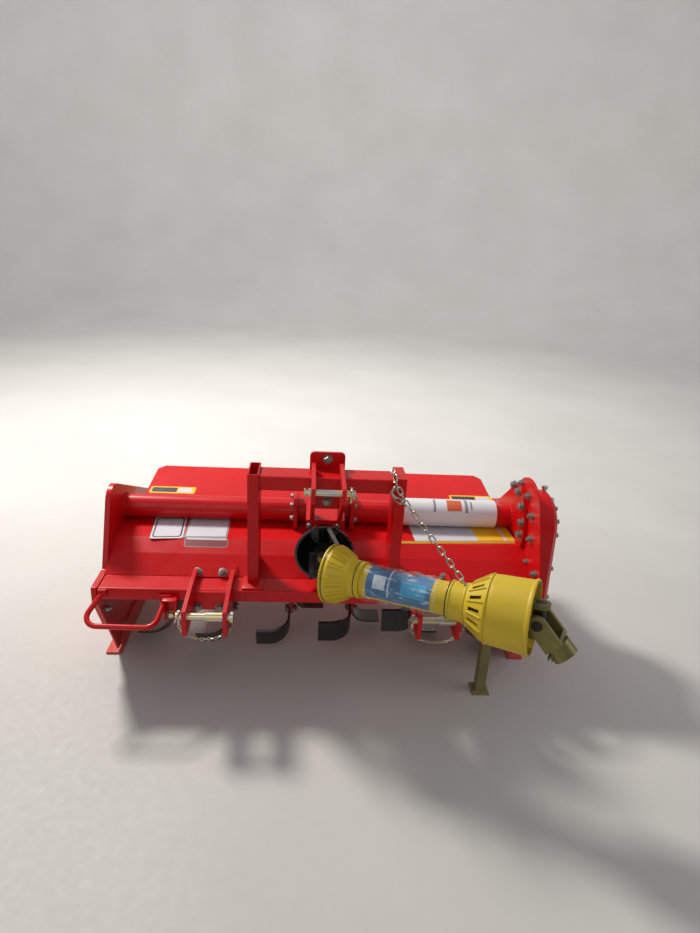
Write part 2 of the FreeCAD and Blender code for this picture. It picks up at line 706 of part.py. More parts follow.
def blade_shape(hand):
    """One L-shaped blade on +Z: its folded strip, padded and leaned back, met by its swept-back outline.

    The strip's fold is drawn in the plane across the rotor, the outline in the plane that it turns in.
    """
    thick = size.blade_thick
    top = size.rotor_radius - thick - 2
    root = 62
    bend = size.blade_bend
    wing = size.blade_reach
    strip = [(0, -60), (thick, -60), (thick, top, bend), (wing, top), (wing, top + thick),
             (0, top + thick, bend + thick)]
    if hand < 0:
        strip = [(-corner[0],) + corner[1:] for corner in strip]
    face = Part.Face(Part.Wire(Part.__sortEdges__([edge.toShape() for edge in rounded(strip)])))
    face.rotate(Vector(), Vector(1, 0, 0), 90)
    block = face.extrude(Vector(0, 400, 0))
    block.translate(Vector(0, -200, 0))
    block.rotate(Vector(0, 2, top + thick), Vector(1, 0, 0), -size.blade_tilt)
    far = size.blade_width + 2
    swept = [Part.Arc(Vector(-24, root, 0), Vector(-20, 130, 0), Vector(2, 206, 0)),
             Part.LineSegment(Vector(2, 206, 0), Vector(far, 206, 0)),
             Part.LineSegment(Vector(far, 206, 0), Vector(far, 150, 0)),
             Part.Arc(Vector(far, 150, 0), Vector(32, 118, 0), Vector(24, root, 0)),
             Part.LineSegment(Vector(24, root, 0), Vector(-24, root, 0))]
    side = Part.Face(Part.Wire([edge.toShape() for edge in swept]))
    side.rotate(Vector(), Vector(1, 0, 0), 90)
    side.rotate(Vector(), Vector(0, 0, 1), 90)
    slab = side.extrude(Vector(400, 0, 0))
    slab.translate(Vector(-200, 0, 0))
    round_bar = Part.makeCylinder(size.rotor_radius, 400, Vector(-200, 0, 0), Vector(1, 0, 0))
    return block.common(slab).common(round_bar)


def rotor():
    """Tube with a stub in each bearing and six flanges, each with four blades turned left and right in turn.

    Each flange stands a little ahead of the last. Tube, flanges and blades are one solid, as bolted up.
    """
    half = size.plate_inside - size.rotor_end_gap
    tube = Part.makeCylinder(size.rotor_tube_dia / 2, half * 2, Vector(-half, 0, 0), Vector(1, 0, 0))
    reach = size.plate_inside + size.stub_out - 1
    stubs = Part.makeCylinder(size.stub_dia / 2, reach * 2, Vector(-reach, 0, 0), Vector(1, 0, 0))
    left = blade_shape(-1)
    right = blade_shape(1)
    pieces = [stubs]
    step = (size.plate_inside * 2 - size.flange_left - size.flange_right) / 5
    for i in range(6):
        x = size.flange_left - size.plate_inside + i * step
        start = Vector(x - size.flange_thick / 2, 0, 0)
        pieces.append(Part.makeCylinder(size.flange_dia / 2, size.flange_thick, start, Vector(1, 0, 0)))
        for k in range(4):
            hand = -1 if k % 2 == 0 else 1
            blade = (left if hand < 0 else right).copy()
            blade.translate(Vector(hand * size.flange_thick / 2, 0, 0))
            blade.rotate(Vector(), Vector(1, 0, 0), size.blade_phase + 90 * k - size.blade_lag * i)
            blade.translate(Vector(x, 0, 0))
            pieces.append(blade)
    whole = shape_part("rotor_whole", tube.fuse(pieces))
    whole.Placement = Placement(at(0, size.rotor_y, size.rotor_z), Rotation())
    keep(whole, "rotor")


def bearings():
    """Bearing housing of the rotor on the left plate, bored from inside for the rotor's stub."""
    plate = cylinder("left_hub_plate", "66", "8")
    hub = cylinder("left_hub", "46", "30")
    bore = cylinder("left_hub_bore", "stub_dia / 2 + shaft_fit", "stub_out - plate_thick")
    whole = cut("left_hub_bored", fuse("left_hub_whole", plate, hub), bore)
    move(whole, "0 - plate_inside - plate_thick - running_gap", "rotor_y", "rotor_z",
         Rotation(Vector(0, 1, 0), -90))
    keep(whole, "left_bearing")


# tailboard

def tailboard():
    """Sheet with a curled edge round its hinge pin, its rear corners cut."""
    body = new_body("tailboard_sheet")
    half = size.board_half
    far = size.board_length
    outline = rounded([(-half, 12), (half, 12), (half, far - 30), (half - 24, far), (-half + 24, far),
                       (-half, far - 30)])
    pad(body, "sheet", "XY_Plane", "board_thick", outline)
    curl = cylinder("tailboard_curl", "hinge_dia / 2 + 5", "board_half * 2 - 120")
    curl.Placement = Placement(Vector(-half + 60, 0, 0), ALONG_X)
    bore = cylinder("tailboard_bore", "hinge_dia / 2 + 0.15", "board_half * 2")
    bore.Placement = Placement(Vector(-half, 0, 0), ALONG_X)
    tongue = box("tailboard_tongue", "board_half * 2 - 120", "20", "board_thick")
    tongue.Placement = Placement(Vector(-half + 60, 6, 0), Rotation())
    whole = cut("tailboard_whole", fuse("tailboard_solid", body, curl, tongue), bore)
    move(whole, "0", "hinge_y", "hinge_z", Rotation(Vector(1, 0, 0), size.board_rise))
    keep(whole, "tailboard")
    pin = cylinder("hinge_pin", "hinge_dia / 2", "( plate_inside - running_gap ) * 2")
    move(pin, "0 - plate_inside + running_gap", "hinge_y", "hinge_z", ALONG_X)
    keep(pin, "hinge_pin")


# parking stand

def stand():
    """Square leg in a square socket on the front bar, with a foot plate."""
    leg = box("stand_bar", "stand_size", "stand_size", "stand_top")
    leg.Placement = Placement(Vector(-size.stand_size / 2, -size.stand_size / 2, 0), Rotation())
    foot = box("stand_pad", "stand_foot", "stand_foot", "6")
    foot.Placement = Placement(Vector(-size.stand_foot / 2, -size.stand_foot / 2, 0), Rotation())
    whole = fuse("stand_whole", leg, foot)
    move(whole, "lower_spread / 2 + stand_out", "bar_front - stand_size / 2 - 6", "0")
    keep(whole, "stand_leg")
    body = new_body("stand_socket")
    a = size.stand_size / 2 + 0.5
    b = a + 5
    pad(body, "sleeve", "XY_Plane", "bar_height + 30", rounded([(-b, -b, 4), (b, -b, 4), (b, b), (-b, b)]),
        rounded([(-a, -a), (a, -a), (a, a), (-a, a)]))
    pocket(body, "screw_hole", "XZ_Plane", "100", circle(0, 15 + size.bar_height / 2, size.screw_dia / 2 + 0.05),
           back=True)
    move(body, "lower_spread / 2 + stand_out", "bar_front - stand_size / 2 - 6", "bar_bottom - 15")
    keep(body, "stand_socket")


# guard hoops

def guard_hoop(name, hand):
    """Bent round bar ahead of a side plate, from the bar's end to a clamp on the bar."""
    front = size.bar_front
    top = size.bar_bottom + size.bar_height
    y_far = front - size.hoop_reach
    z_far = top - size.hoop_drop
    root = front - size.running_gap - 4
    outer = size.plate_inside - 18
    corner = size.lower_spread / 2 + size.hoop_in
    inner = corner - 16
    points = [at(hand * outer, root, top - 13), at(hand * (size.plate_inside + size.hoop_out), y_far, z_far),
              at(hand * corner, y_far, z_far - 4), at(hand * inner, root, top - 27)]
    edges = []
    bend = 34
    last = points[0]
    for i in (1, 2):
        back = (points[i - 1] - points[i]).normalize()
        ahead = (points[i + 1] - points[i]).normalize()
        half = back.getAngle(ahead) / 2
        reach = bend / math.tan(half)
        middle = points[i] + (back + ahead).normalize() * (bend / math.sin(half))
        crown = middle + (points[i] - middle).normalize() * bend
        edges.append(Part.LineSegment(last, points[i] + back * reach).toShape())
        edges.append(Part.Arc(points[i] + back * reach, crown, points[i] + ahead * reach).toShape())
        last = points[i] + ahead * reach
    edges.append(Part.LineSegment(last, points[3]).toShape())
    path = Part.Wire(edges)
    start = points[0]
    ring = Part.Wire(Part.makeCircle(size.hoop_dia / 2, start, points[1] - points[0]))
    hoop = path.makePipeShell([ring], True, True)
    for x, z, wide, high in ((hand * outer, top - 13, 24, 24), (hand * inner, top - 27, 36, 24)):
        low = at(x - wide / 2, front - size.running_gap - 10, z - high / 2)
        hoop = hoop.fuse(Part.makeBox(wide, 10, high, low))
    keep(shape_part(name, hoop.removeSplitter()), name)


# PTO shaft

def shaft_turn():
    """Rotation that takes +Z along the PTO shaft and +X along its yokes' bores."""
    along = Vector(size.shaft_x, size.shaft_y, size.shaft_z).normalize()
    bores = Vector(1, 0, 0).cross(along).normalize()
    return Rotation(bores, along.cross(bores), along, "ZXY")


def revolved(name, corners):
    """A turned piece about its own Z axis, from corners of (radius, distance along)."""
    body = new_body(name)
    turned = body.newObject("PartDesign::Revolution", "turned")
    profile = sketch(body, "turned_outline", "XZ_Plane", rounded(corners))
    turned.Profile = profile
    turned.ReferenceAxis = (profile, ["V_Axis"])
    turned.Angle = 360
    return body


def on_shaft(thing):
    """Puts a piece on the PTO shaft, its own Z from the inner joint along the shaft."""
    move(thing, "0", "joint_y", "tube_z", shaft_turn())
    return thing


def pto_guard():
    """Inner cone, tube and outer cup of the PTO shaft's guard, each a thin turned shell."""
    w = size.guard_wall
    neck = size.guard_dia / 2
    cone = size.cone_dia / 2
    cup = size.cup_dia / 2
    mouth = size.outer_joint - size.cup_short
    root = mouth - size.cup_depth
    bar = root - size.collar_length
    rows = (
        ("inner_cone", [(cone, 22), (cone, 40), (neck + 16, 84), (neck + 4 + w, 92), (neck + 4 + w, 128),
                        (neck + 0.3, 128), (neck + 0.3, 88), (neck + 16 - w, 80), (cone - w, 38), (cone - w, 22)]),
        ("guard_tube", [(neck, 88.3), (neck, bar + 22), (neck - w, bar + 22), (neck - w, 88.3)]),
        ("guard_collar", [(neck + 6, bar), (neck + 6, root - 0.3), (neck + 0.3, root - 0.3), (neck + 0.3, bar)]),
        ("outer_cup", [(neck + 8, root), (cup - 8, mouth - 115), (cup - 6, mouth - 100), (cup - 2, mouth - 12),
                       (cup, mouth - 8), (cup, mouth), (cup - w - 1, mouth), (cup - w - 6, mouth - 100),
                       (cup - w - 8, mouth - 113), (neck + 8 - w, root + w), (neck - 4, root + w),
                       (neck - 4, root)]),
    )
    for name, corners in rows:
        body = revolved(name + "_shell", corners)
        if name == "outer_cup":
            slots = []
            for i in range(14):
                slot = Part.makeBox(50, 9, 32, Vector(52, -4.5, root + 14))
                slot.rotate(Vector(), Vector(0, 0, 1), i * 360 / 14)
                slots.append(slot)
            body = cut("slotted_cup", body, shape_part("cup_slots", Part.makeCompound(slots)))
        if name == "inner_cone":
            outside = Part.makeCone(cone + 2.5, neck + 18.5, 44, Vector(0, 0, 40))
            flank = outside.cut(Part.makeCone(cone - 1.5, neck + 14.5, 44, Vector(0, 0, 40)))
            bars = []
            for i in range(16):
                bar_box = Part.makeBox(60, 5, 40, Vector(40, -2.5, 42))
                bar_box.rotate(Vector(), Vector(0, 0, 1), i * 22.5)
                bars.append(bar_box)
            ribs = flank.common(Part.makeCompound(bars))
            body = fuse("ribbed_cone", body, shape_part("cone_ribs", ribs))
        keep(on_shaft(body), name)


def yoke(name, hub_dia, hub_length):
    """A fork about the joint's centre: two cheeks with the cross's bores on X, and a hub on its own -Z.

    Without a hub's length it ends at the bridge between its cheeks.
    """
    gap = size.yoke_gap / 2
    thick = size.yoke_thick
    half = size.yoke_half
    reach = size.yoke_reach
    pieces = []
    for side in (-1, 1):
        body = new_body(name + "_cheek")
        outline = [Part.Arc(Vector(-half, 0, 0), Vector(0, half, 0), Vector(half, 0, 0)),
                   Part.LineSegment(Vector(half, 0, 0), Vector(half, -reach, 0)),
                   Part.LineSegment(Vector(half, -reach, 0), Vector(-half, -reach, 0)),
                   Part.LineSegment(Vector(-half, -reach, 0), Vector(-half, 0, 0))]
        pad(body, "cheek", "YZ_Plane", "yoke_thick", outline, circle(0, 0, size.cap_dia / 2 + 0.05), both=True)
        body.Placement = Placement(Vector(side * (gap + thick / 2), 0, 0), Rotation())
        pieces.append(body)
    bridge = box(name + "_bridge", "yoke_gap + yoke_thick * 2", "yoke_half * 2", "13")
    bridge.Placement = Placement(Vector(-gap - thick, -half, -reach - 12), Rotation())
    if hub_length:
        hub = cylinder(name + "_hub", "%g" % (hub_dia / 2), "%g" % hub_length)
        hub.Placement = Placement(Vector(0, 0, -reach - hub_length), Rotation())
        pieces.append(hub)
    return fuse(name + "_fork", *pieces, bridge)


def joint_cross(name):
    """A universal joint's cross: two arms with a bearing cap at each end, and a block between them."""
    half = size.yoke_gap / 2 + size.yoke_thick
    block = box(name + "_block", "26", "26", "26")
    block.Placement = Placement(Vector(-13, -13, -13), Rotation())
    arms = []
    for turn in (ALONG_X, Rotation(Vector(1, 0, 0), -90)):
        arm = cylinder(name + "_arm", "cap_dia / 2", "yoke_gap + yoke_thick * 2")
        arm.Placement = Placement(turn.multVec(Vector(0, 0, -half)), turn)
        arms.append(arm)
    return fuse(name + "_arms", block, *arms)


def drive_line():
    """Input shaft, inner yoke and cross, drive shaft with a fork at each end, outer cross and yoke."""
    stub = cylinder("input_stub", "input_dia / 2", "box_front - joint_y - yoke_reach - 22")
    move(stub, "0", "box_front - 1", "tube_z", ALONG_FRONT)
    keep(stub, "input_shaft")
    bore = cylinder("inner_yoke_bore", "input_dia / 2 + shaft_fit", "200")
    bore.Placement = Placement(Vector(0, 0, -200 - size.yoke_reach - 14), Rotation())
    inner = cut("inner_yoke_bored", yoke("inner_yoke_solid", 62, 60), bore)
    move(inner, "0", "joint_y", "tube_z", Rotation(Vector(1, 0, 0), 90))
    keep(inner, "inner_yoke")
    turn = shaft_turn()
    across = Vector(1, 0, 0)
    upright_arm = turn.multVec(Vector(1, 0, 0))
    cross = joint_cross("inner_cross")
    move(cross, "0", "joint_y", "tube_z", Rotation(across, upright_arm, across.cross(upright_arm), "XYZ"))
    keep(cross, "inner_cross")

    near = yoke("near_fork", 56, 20)
    near.Placement = Placement(Vector(), Rotation(Vector(1, 0, 0), 180))
    far = yoke("far_fork", 56, 20)
    far.setExpression(".Placement.Base.z", "Sizes.outer_joint")
    bar = cylinder("drive_bar", "drive_dia / 2", "outer_joint - yoke_reach * 2 - 20")
    bar.Placement = Placement(Vector(0, 0, size.yoke_reach + 10), Rotation())
    keep(on_shaft(fuse("drive_shaft_whole", near, bar, far)), "drive_shaft")
    hole = size.drive_dia / 2 + size.running_gap
    edge = size.guard_dia / 2 - size.guard_wall - size.running_gap
    rings = []
    for start in (100, size.outer_joint - size.cup_short - size.cup_depth - size.collar_length + 7):
        ring = Part.makeCylinder(edge, 10, Vector(0, 0, start))
        rings.append(ring.cut(Part.makeCylinder(hole, 12, Vector(0, 0, start - 1))))
    keep(on_shaft(shape_part("guard_rings", Part.makeCompound(rings))), "guard_bearings")

    middle = turn.multVec(Vector(0, 0, size.outer_joint)) + Vector(0, size.joint_y, size.tube_z)
    tilt = turn.multiply(Rotation(Vector(1, 0, 0), size.swing_side))
    cross = joint_cross("outer_cross_solid")
    cross.Placement = Placement(at(*middle), tilt)
    keep(cross, "outer_cross")
    hang = tilt.multiply(Rotation(Vector(0, 1, 0), size.swing_down))
    flip = hang.multiply(Rotation(Vector(0, 0, 1), 90)).multiply(Rotation(Vector(1, 0, 0), 180))
    outer = yoke("outer_yoke_solid", 0, 0)
    outer.Placement = Placement(at(*middle), flip)
    keep(outer, "outer_yoke")
    start = size.yoke_reach + 12 + size.running_gap
    hub = cylinder("tractor_hub_round", "hub_dia / 2", "hub_length")
    bore = cylinder("tractor_hub_bore", "input_dia / 2", "hub_length")
    bored = cut("tractor_hub_bored", hub, bore)
    bored.Placement = Placement(at(*middle), flip).multiply(
        Placement(Vector(0, 0, -start - size.hub_length), Rotation()))
    keep(bored, "tractor_hub")


def hold_up_chain():
    """Chain that holds the PTO shaft up: from a flat hook over the right upright down to the guard's collar.

    Its links are turned a quarter each time, and each overlaps the next a little, so that they are one solid.
    """
    front = size.upright_front - size.running_gap
    top = size.mast_top + size.running_gap
    x = size.upright_x
    hook = Part.makeBox(20, 52, 4, Vector(x - 16, front - 4, top))
    hook = hook.fuse(Part.makeBox(20, 4, 26, Vector(x - 16, front - 4, top - 22)))
    turn = shaft_turn()
    collar = size.outer_joint - size.cup_short - size.cup_depth - size.collar_length / 2
    axis = turn.multVec(Vector(0, 0, 1))
    up = (Vector(0, 0, 1) - axis * axis.z).normalize()
    high = size.guard_dia / 2 + 6 + (size.link_width + size.link_wire) * 0.34
    end = Vector(0, size.joint_y, size.tube_z) + axis * collar + up * high
    path = [Vector(x - 6, front - 8, top - 14), Vector(x - 2, front - 8, top - 58),
            Vector(x + 53, front - 70, top - 103), Vector(x + 101, front - 160, top - 145), end]
    reach = [0]
    for i in range(1, len(path)):
        reach.append(reach[-1] + (path[i] - path[i - 1]).Length)
    count = int(size.chain_links)
    pitch = reach[-1] / count
    knots = []
    for k in range(count + 1):
        along = pitch * k
        i = next((n for n in range(1, len(path) - 1) if reach[n] > along), len(path) - 1)
        part = (along - reach[i - 1]) / (reach[i] - reach[i - 1])
        knots.append(path[i - 1] + (path[i] - path[i - 1]) * part)
    wire = size.link_wire
    shapes = []
    for k in range(count):
        run = knots[k + 1] - knots[k]
        length = (run.Length - 0.6) / 2 + wire
        wide = size.link_width / 2
        face = Part.Face(stadium(length, wide)).cut(Part.Face(stadium(length - wire, wide - wire)))
        face.translate(Vector(0, 0, -wire / 2))
        link = face.extrude(Vector(0, 0, wire))
        side = run.cross(Vector(0, 0, 1) if abs(run.z) < 0.9 * run.Length else Vector(0, 1, 0))
        link.rotate(Vector(), Vector(1, 0, 0), 45 + 90 * (k % 2))
        link.Placement = Placement((knots[k] + knots[k + 1]) / 2,
                                   Rotation(run, side, run.cross(side), "XYZ")).multiply(link.Placement)
        shapes.append(link)
    whole = hook.fuse(shapes)
    whole.translate(at(0, 0, 0))
    keep(shape_part("chain_whole", whole), "hold_up_chain")


def stadium(half_length, half_width):
    """Closed wire of two straight sides and two half circles, about the origin in X and Y."""
    flat = half_length - half_width
    return Part.Wire([Part.LineSegment(Vector(-flat, -half_width, 0), Vector(flat, -half_width, 0)).toShape(),
                      Part.Arc(Vector(flat, -half_width, 0), Vector(half_length, 0, 0),
                               Vector(flat, half_width, 0)).toShape(),
                      Part.LineSegment(Vector(flat, half_width, 0), Vector(-flat, half_width, 0)).toShape(),
                      Part.Arc(Vector(-flat, half_width, 0), Vector(-half_length, 0, 0),
                               Vector(-flat, -half_width, 0)).toShape()])


def pto_shield():
    """Round bell ahead of the gearbox: a cone with a rolled rim, its back wall bored for the input shaft."""
    body = new_body("pto_shield")
    w = size.shield_wall
    r = size.shield_radius
    back = size.shield_back
    depth = size.box_front - size.nose_length - size.running_gap - size.shield_front
    hole = size.input_dia / 2 + 1
    wall = rounded([(hole, 0), (back, 0), (back + 14, 38), (r - 4, depth - 17), (r + 4, depth - 5),
                    (r + 4, depth), (r - w, depth), (r - w - 4, depth - 16), (back + 14 - w, 38.5),
                    (back - w, w), (hole, w)])
    turned = body.newObject("PartDesign::Revolution", "turned")
    profile = sketch(body, "turned_outline", "XZ_Plane", wall)
    turned.Profile = profile
    turned.ReferenceAxis = (profile, ["V_Axis"])
    turned.Angle = 360
    move(body, "0", "box_front - nose_length - running_gap", "tube_z", ALONG_FRONT)
    keep(body, "pto_shield")


def fittings():
    """Breather on the side drive case, document sleeve on the right tube, linch pins and stand pin."""
    lean = Rotation(Vector(1, 0, 0), -size.breather_lean)
    case_in = size.plate_inside + size.plate_thick + size.running_gap
    neck = cylinder("breather_neck", "7", "16")
    cap = cylinder("breather_cap", "11", "9")
    cap.Placement = Placement(Vector(0, 0, 10), Rotation())
    whole = fuse("breather_whole", neck, cap)
    spot = lean.multVec(Vector(0, 0, size.case_top_radius + size.running_gap))
    middle = at(case_in + size.breather_in, size.tube_y - size.case_ahead, size.tube_z - size.case_drop)
    whole.Placement = Placement(middle + spot, lean)
    keep(whole, "breather")

    body = new_body("document_sleeve")
    roll = size.tube_dia / 2 + size.sleeve_wall
    over = roll - (size.tube_z - deck_top()) + size.running_gap
    pad(body, "roll", "YZ_Plane", "sleeve_length", circle(-3, over, roll),
        circle(0, 0, size.tube_dia / 2 + size.running_gap))
    move(body, "plate_inside - sleeve_end - sleeve_length", "tube_y", "tube_z")
    keep(body, "document_sleeve")

    top_end = size.top_gap / 2 + size.top_plate + 14
    low_end = size.lower_spread / 2 + size.ear_gap / 2 + size.ear_thick + 11
    near_end = size.lower_spread / 2 - size.ear_gap / 2 - size.ear_thick - 11
    spots = ((top_end, size.top_pin_y, size.top_pin_z, 1), (-low_end, size.lower_pin_y, size.lower_pin_z, -1),
             (near_end, size.lower_pin_y, size.lower_pin_z, -1))
    shapes = []
    for x, y, z, out in spots:
        rod = Part.makeCylinder(size.linch_dia / 2, 44, Vector(0, 0, -26))
        ring = Part.makeTorus(size.linch_ring / 2, size.linch_wire / 2, Vector(0, 0, 0), Vector(1, 0, 0))
        ring.translate(Vector(0, 0, -size.linch_ring / 2))
        ring.rotate(Vector(), Vector(0, 1, 0), -20 * out)
        ring.translate(Vector(0, 0, 14))
        pin = rod.fuse(ring).removeSplitter()
        pin.translate(at(x, y, z))
        shapes.append(pin)
    keep(shape_part("linch_pins", Part.makeCompound(shapes)), "linch_pins")

    screw = cylinder("screw_shank", "screw_dia / 2", "34")
    handle = cylinder("screw_handle", "5", "64")
    handle.Placement = Placement(Vector(-32, 0, 30), ALONG_X)
    whole = fuse("screw_whole", screw, handle)
    move(whole, "lower_spread / 2 + stand_out", "bar_front - stand_size - 6 - running_gap", "bar_bottom + bar_height / 2", ALONG_FRONT)
    keep(whole, "stand_screw")


BUILDERS = (front_bar, hood, side_plates, gearbox, drive_case, cross_bar, top_link_bracket, gearbox_stay, back_plate,
            hitch_pins, rotor, bearings, tailboard, stand, pto_guard, drive_line, pto_shield,
            hold_up_chain, fittings)
for build in BUILDERS:
    build()
for name, hand in (("left_skid", -1), ("right_skid", 1)):
    skid(name, hand)
for name, hand in (("left_tube", -1), ("right_tube", 1)):
    axle_tube(name, hand)
for name, hand, capped in (("left_upright", -1, False), ("right_upright", 1, True)):
    upright(name, hand, capped)
for name, hand in (("left_hitch_bracket", -1), ("right_hitch_bracket", 1)):
    hitch_bracket(name, hand)
for name, hand in (("left_guard_hoop", -1), ("right_guard_hoop", 1)):
    guard_hoop(name, hand)

doc.recompute()
os.makedirs("parts", exist_ok=True)
for thing in doc.Objects:
    if "Invalid" in thing.State or "Error" in thing.State:
        raise RuntimeError("%s did not compute" % thing.Label)
for thing in parts:
    if thing.Shape.isNull() or not thing.Shape.isValid():
        raise RuntimeError("%s has no valid shape" % thing.Label)
for thing in parts:
    thing.Shape.exportStep("parts/%s.step" % thing.Label)
box_all = Part.makeCompound([thing.Shape for thing in parts]).BoundBox
print("%d sub-parts, %.0f x %.0f x %.0f mm" % (len(parts), box_all.XLength, box_all.YLength, box_all.ZLength))
print("x %.1f to %.1f, y %.1f to %.1f, z %.1f to %.1f" % (box_all.XMin, box_all.XMax, box_all.YMin,
                                                          box_all.YMax, box_all.ZMin, box_all.ZMax))
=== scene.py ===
# %% [markdown]
# # A rotary tiller
#
# The solids of this machine come from its CAD model: bar, hood, side plates, mast, gearbox, drive case,
# rotor, tailboard and the drive shaft with its guard. This notebook dresses them. It gives every piece a
# finish made of nodes, and it adds what is too small for the solids: bolts, welds, labels, chains and ribs.

# %% Load the frame
from math import atan2, cos, exp, pi, radians, sin, tau

import bmesh
import bpy
from mathutils import Matrix, Vector


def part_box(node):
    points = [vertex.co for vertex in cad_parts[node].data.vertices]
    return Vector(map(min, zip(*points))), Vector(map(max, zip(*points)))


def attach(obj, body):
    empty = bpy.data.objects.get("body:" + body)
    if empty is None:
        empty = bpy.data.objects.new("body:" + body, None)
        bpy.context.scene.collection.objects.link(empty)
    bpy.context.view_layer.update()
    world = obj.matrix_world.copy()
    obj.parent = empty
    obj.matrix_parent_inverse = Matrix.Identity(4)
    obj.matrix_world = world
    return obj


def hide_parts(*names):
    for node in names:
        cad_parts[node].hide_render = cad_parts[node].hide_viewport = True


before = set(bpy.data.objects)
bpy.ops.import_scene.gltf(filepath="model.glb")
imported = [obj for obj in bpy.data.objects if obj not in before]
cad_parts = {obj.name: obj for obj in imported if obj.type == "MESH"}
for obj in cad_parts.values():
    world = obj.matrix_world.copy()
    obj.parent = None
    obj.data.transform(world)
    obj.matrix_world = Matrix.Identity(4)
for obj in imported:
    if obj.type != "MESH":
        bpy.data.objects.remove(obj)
scene = bpy.context.scene
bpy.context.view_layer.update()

# %% [markdown]
# A place on the machine goes through the function spot, in millimetres. Other lengths are in metres, as
# Blender counts them. x counts from the hitch's centre line, y from a plane 100 mm behind the front bar's
# face, and z from the ground. The front bar itself says where those planes lie in the model. The lines that
# several pieces share are named: the rotor's, the axle tubes', the inner faces of the side plates and the
# middle of each lower hitch pin.

# %% Places
bar_low, bar_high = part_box("front_bar")
HITCH_X = (bar_low[0] + bar_high[0]) / 2
PLANE_Y = bar_low[1] + 0.100
ROTOR_Y, ROTOR_Z = 165, 204
TUBE_Y, TUBE_Z = 250, 464
PLATE_X, HITCH_PIN = 684, 341.5
UP = Vector((0, 0, 1))


def spot(x, y, z):
    """A place in the model, from its millimetres."""
    return Vector((HITCH_X + x / 1000, PLANE_Y + y / 1000, z / 1000))


print("hitch centre line at x = %.4f, plane at y = %.4f" % (HITCH_X, PLANE_Y))

# %% [markdown]
# ## Effects that several finishes share
#
# A film of dust lies on faces that look up and gathers low down on the machine. A group works out how much
# of it a point has, from the height, the normal and some noise, and mixes it over any paint. It puts out a
# colour and a roughness, so each finish keeps its own shader.

# %% Node helpers
def new_group(name, inputs, outputs):
    tree = bpy.data.node_groups.new(name, "ShaderNodeTree")
    for label, kind, value in inputs:
        socket = tree.interface.new_socket(label, in_out="INPUT", socket_type="NodeSocket" + kind)
        socket.default_value = value
    for label, kind in outputs:
        tree.interface.new_socket(label, in_out="OUTPUT", socket_type="NodeSocket" + kind)
    return tree, tree.nodes.new("NodeGroupInput"), tree.nodes.new("NodeGroupOutput")


def node(tree, kind, **settings):
    item = tree.nodes.new("ShaderNode" + kind)
    for key, value in settings.items():
        setattr(item, key, value)
    return item


def put(item, **values):
    """Sets a node's sockets. An underscore stands for the space in a socket's name."""
    for label, value in values.items():
        item.inputs[label.replace("_", " ")].default_value = value


def noise(tree, where, scale, detail=4.0, rough=0.55):
    item = node(tree, "TexNoise")
    put(item, Scale=scale, Detail=detail, Roughness=rough)
    tree.links.new(where, item.inputs["Vector"])
    return item.outputs["Fac"]


def span(tree, value, low, high, to_low=0.0, to_high=1.0):
    """Maps a value from one range to another, held at both ends."""
    item = node(tree, "MapRange", clamp=True)
    put(item, From_Min=low, From_Max=high, To_Min=to_low, To_Max=to_high)
    tree.links.new(value, item.inputs["Value"])
    return item.outputs["Result"]


def sums(tree, how, first, second):
    """A Math node. Each side is a number or the output of another node."""
    item = node(tree, "Math", operation=how)
    for socket, value in zip(item.inputs, (first, second)):
        if isinstance(value, (int, float)):
            socket.default_value = value
        else:
            tree.links.new(value, socket)
    return item.outputs["Value"]


def blend_colours(tree, mask, first, second):
    item = node(tree, "Mix", data_type="RGBA")
    tree.links.new(mask, item.inputs["Factor"])
    for socket, value in ((item.inputs[6], first), (item.inputs[7], second)):
        if isinstance(value, tuple):
            socket.default_value = value + (1.0,)
        else:
            tree.links.new(value, socket)
    return item.outputs[2]


def new_material(name):
    """A material, its node tree, its shader, and the Object coordinates that its patterns use."""
    material = bpy.data.materials.new(name)
    material.use_nodes = True
    tree = material.node_tree
    return material, tree, tree.nodes["Principled BSDF"], node(tree, "TexCoord").outputs["Object"]


# %% Dust group
dust, dust_in, dust_out = new_group(
    "dust_film",
    (("Paint", "Color", (0.5, 0.5, 0.5, 1)), ("Dust", "Color", (0.50, 0.42, 0.32, 1)),
     ("Amount", "Float", 0.3), ("Clean Roughness", "Float", 0.3), ("Low Line", "Float", 0.25)),
    (("Color", "Color"), ("Roughness", "Float")))
place = node(dust, "TexCoord").outputs["Object"]
height = node(dust, "SeparateXYZ")
dust.links.new(place, height.inputs[0])
facing = node(dust, "SeparateXYZ")
dust.links.new(node(dust, "NewGeometry").outputs["Normal"], facing.inputs[0])
upward = span(dust, facing.outputs["Z"], 0.35, 1.0, 0.0, 0.35)
low_down = node(dust, "MapRange")
put(low_down, To_Min=1.0, To_Max=0.0)
dust.links.new(height.outputs["Z"], low_down.inputs["Value"])
dust.links.new(dust_in.outputs["Low Line"], low_down.inputs["From Max"])
coarse = span(dust, noise(dust, place, 7.0, 6.0, 0.6), 0.38, 0.68, 0.3, 1.0)
fine = span(dust, noise(dust, place, 160.0, 3.0, 0.7), 0.35, 0.75, 0.4, 1.0)
cover = sums(dust, "ADD", upward, low_down.outputs["Result"])
for factor in (coarse, fine, dust_in.outputs["Amount"]):
    cover = sums(dust, "MULTIPLY", cover, factor)
cover = sums(dust, "MINIMUM", cover, 0.9)
dust.links.new(blend_colours(dust, cover, dust_in.outputs["Paint"], dust_in.outputs["Dust"]),
               dust_out.inputs["Color"])
rougher = sums(dust, "ADD", dust_in.outputs["Clean Roughness"], sums(dust, "MULTIPLY", cover, 0.6))
smudge = span(dust, noise(dust, place, 24.0, 5.0), 0.35, 0.7, 0.0, 0.10)
dust.links.new(sums(dust, "ADD", rougher, smudge), dust_out.inputs["Roughness"])
print("group", dust.name, "has", len(dust.nodes), "nodes")

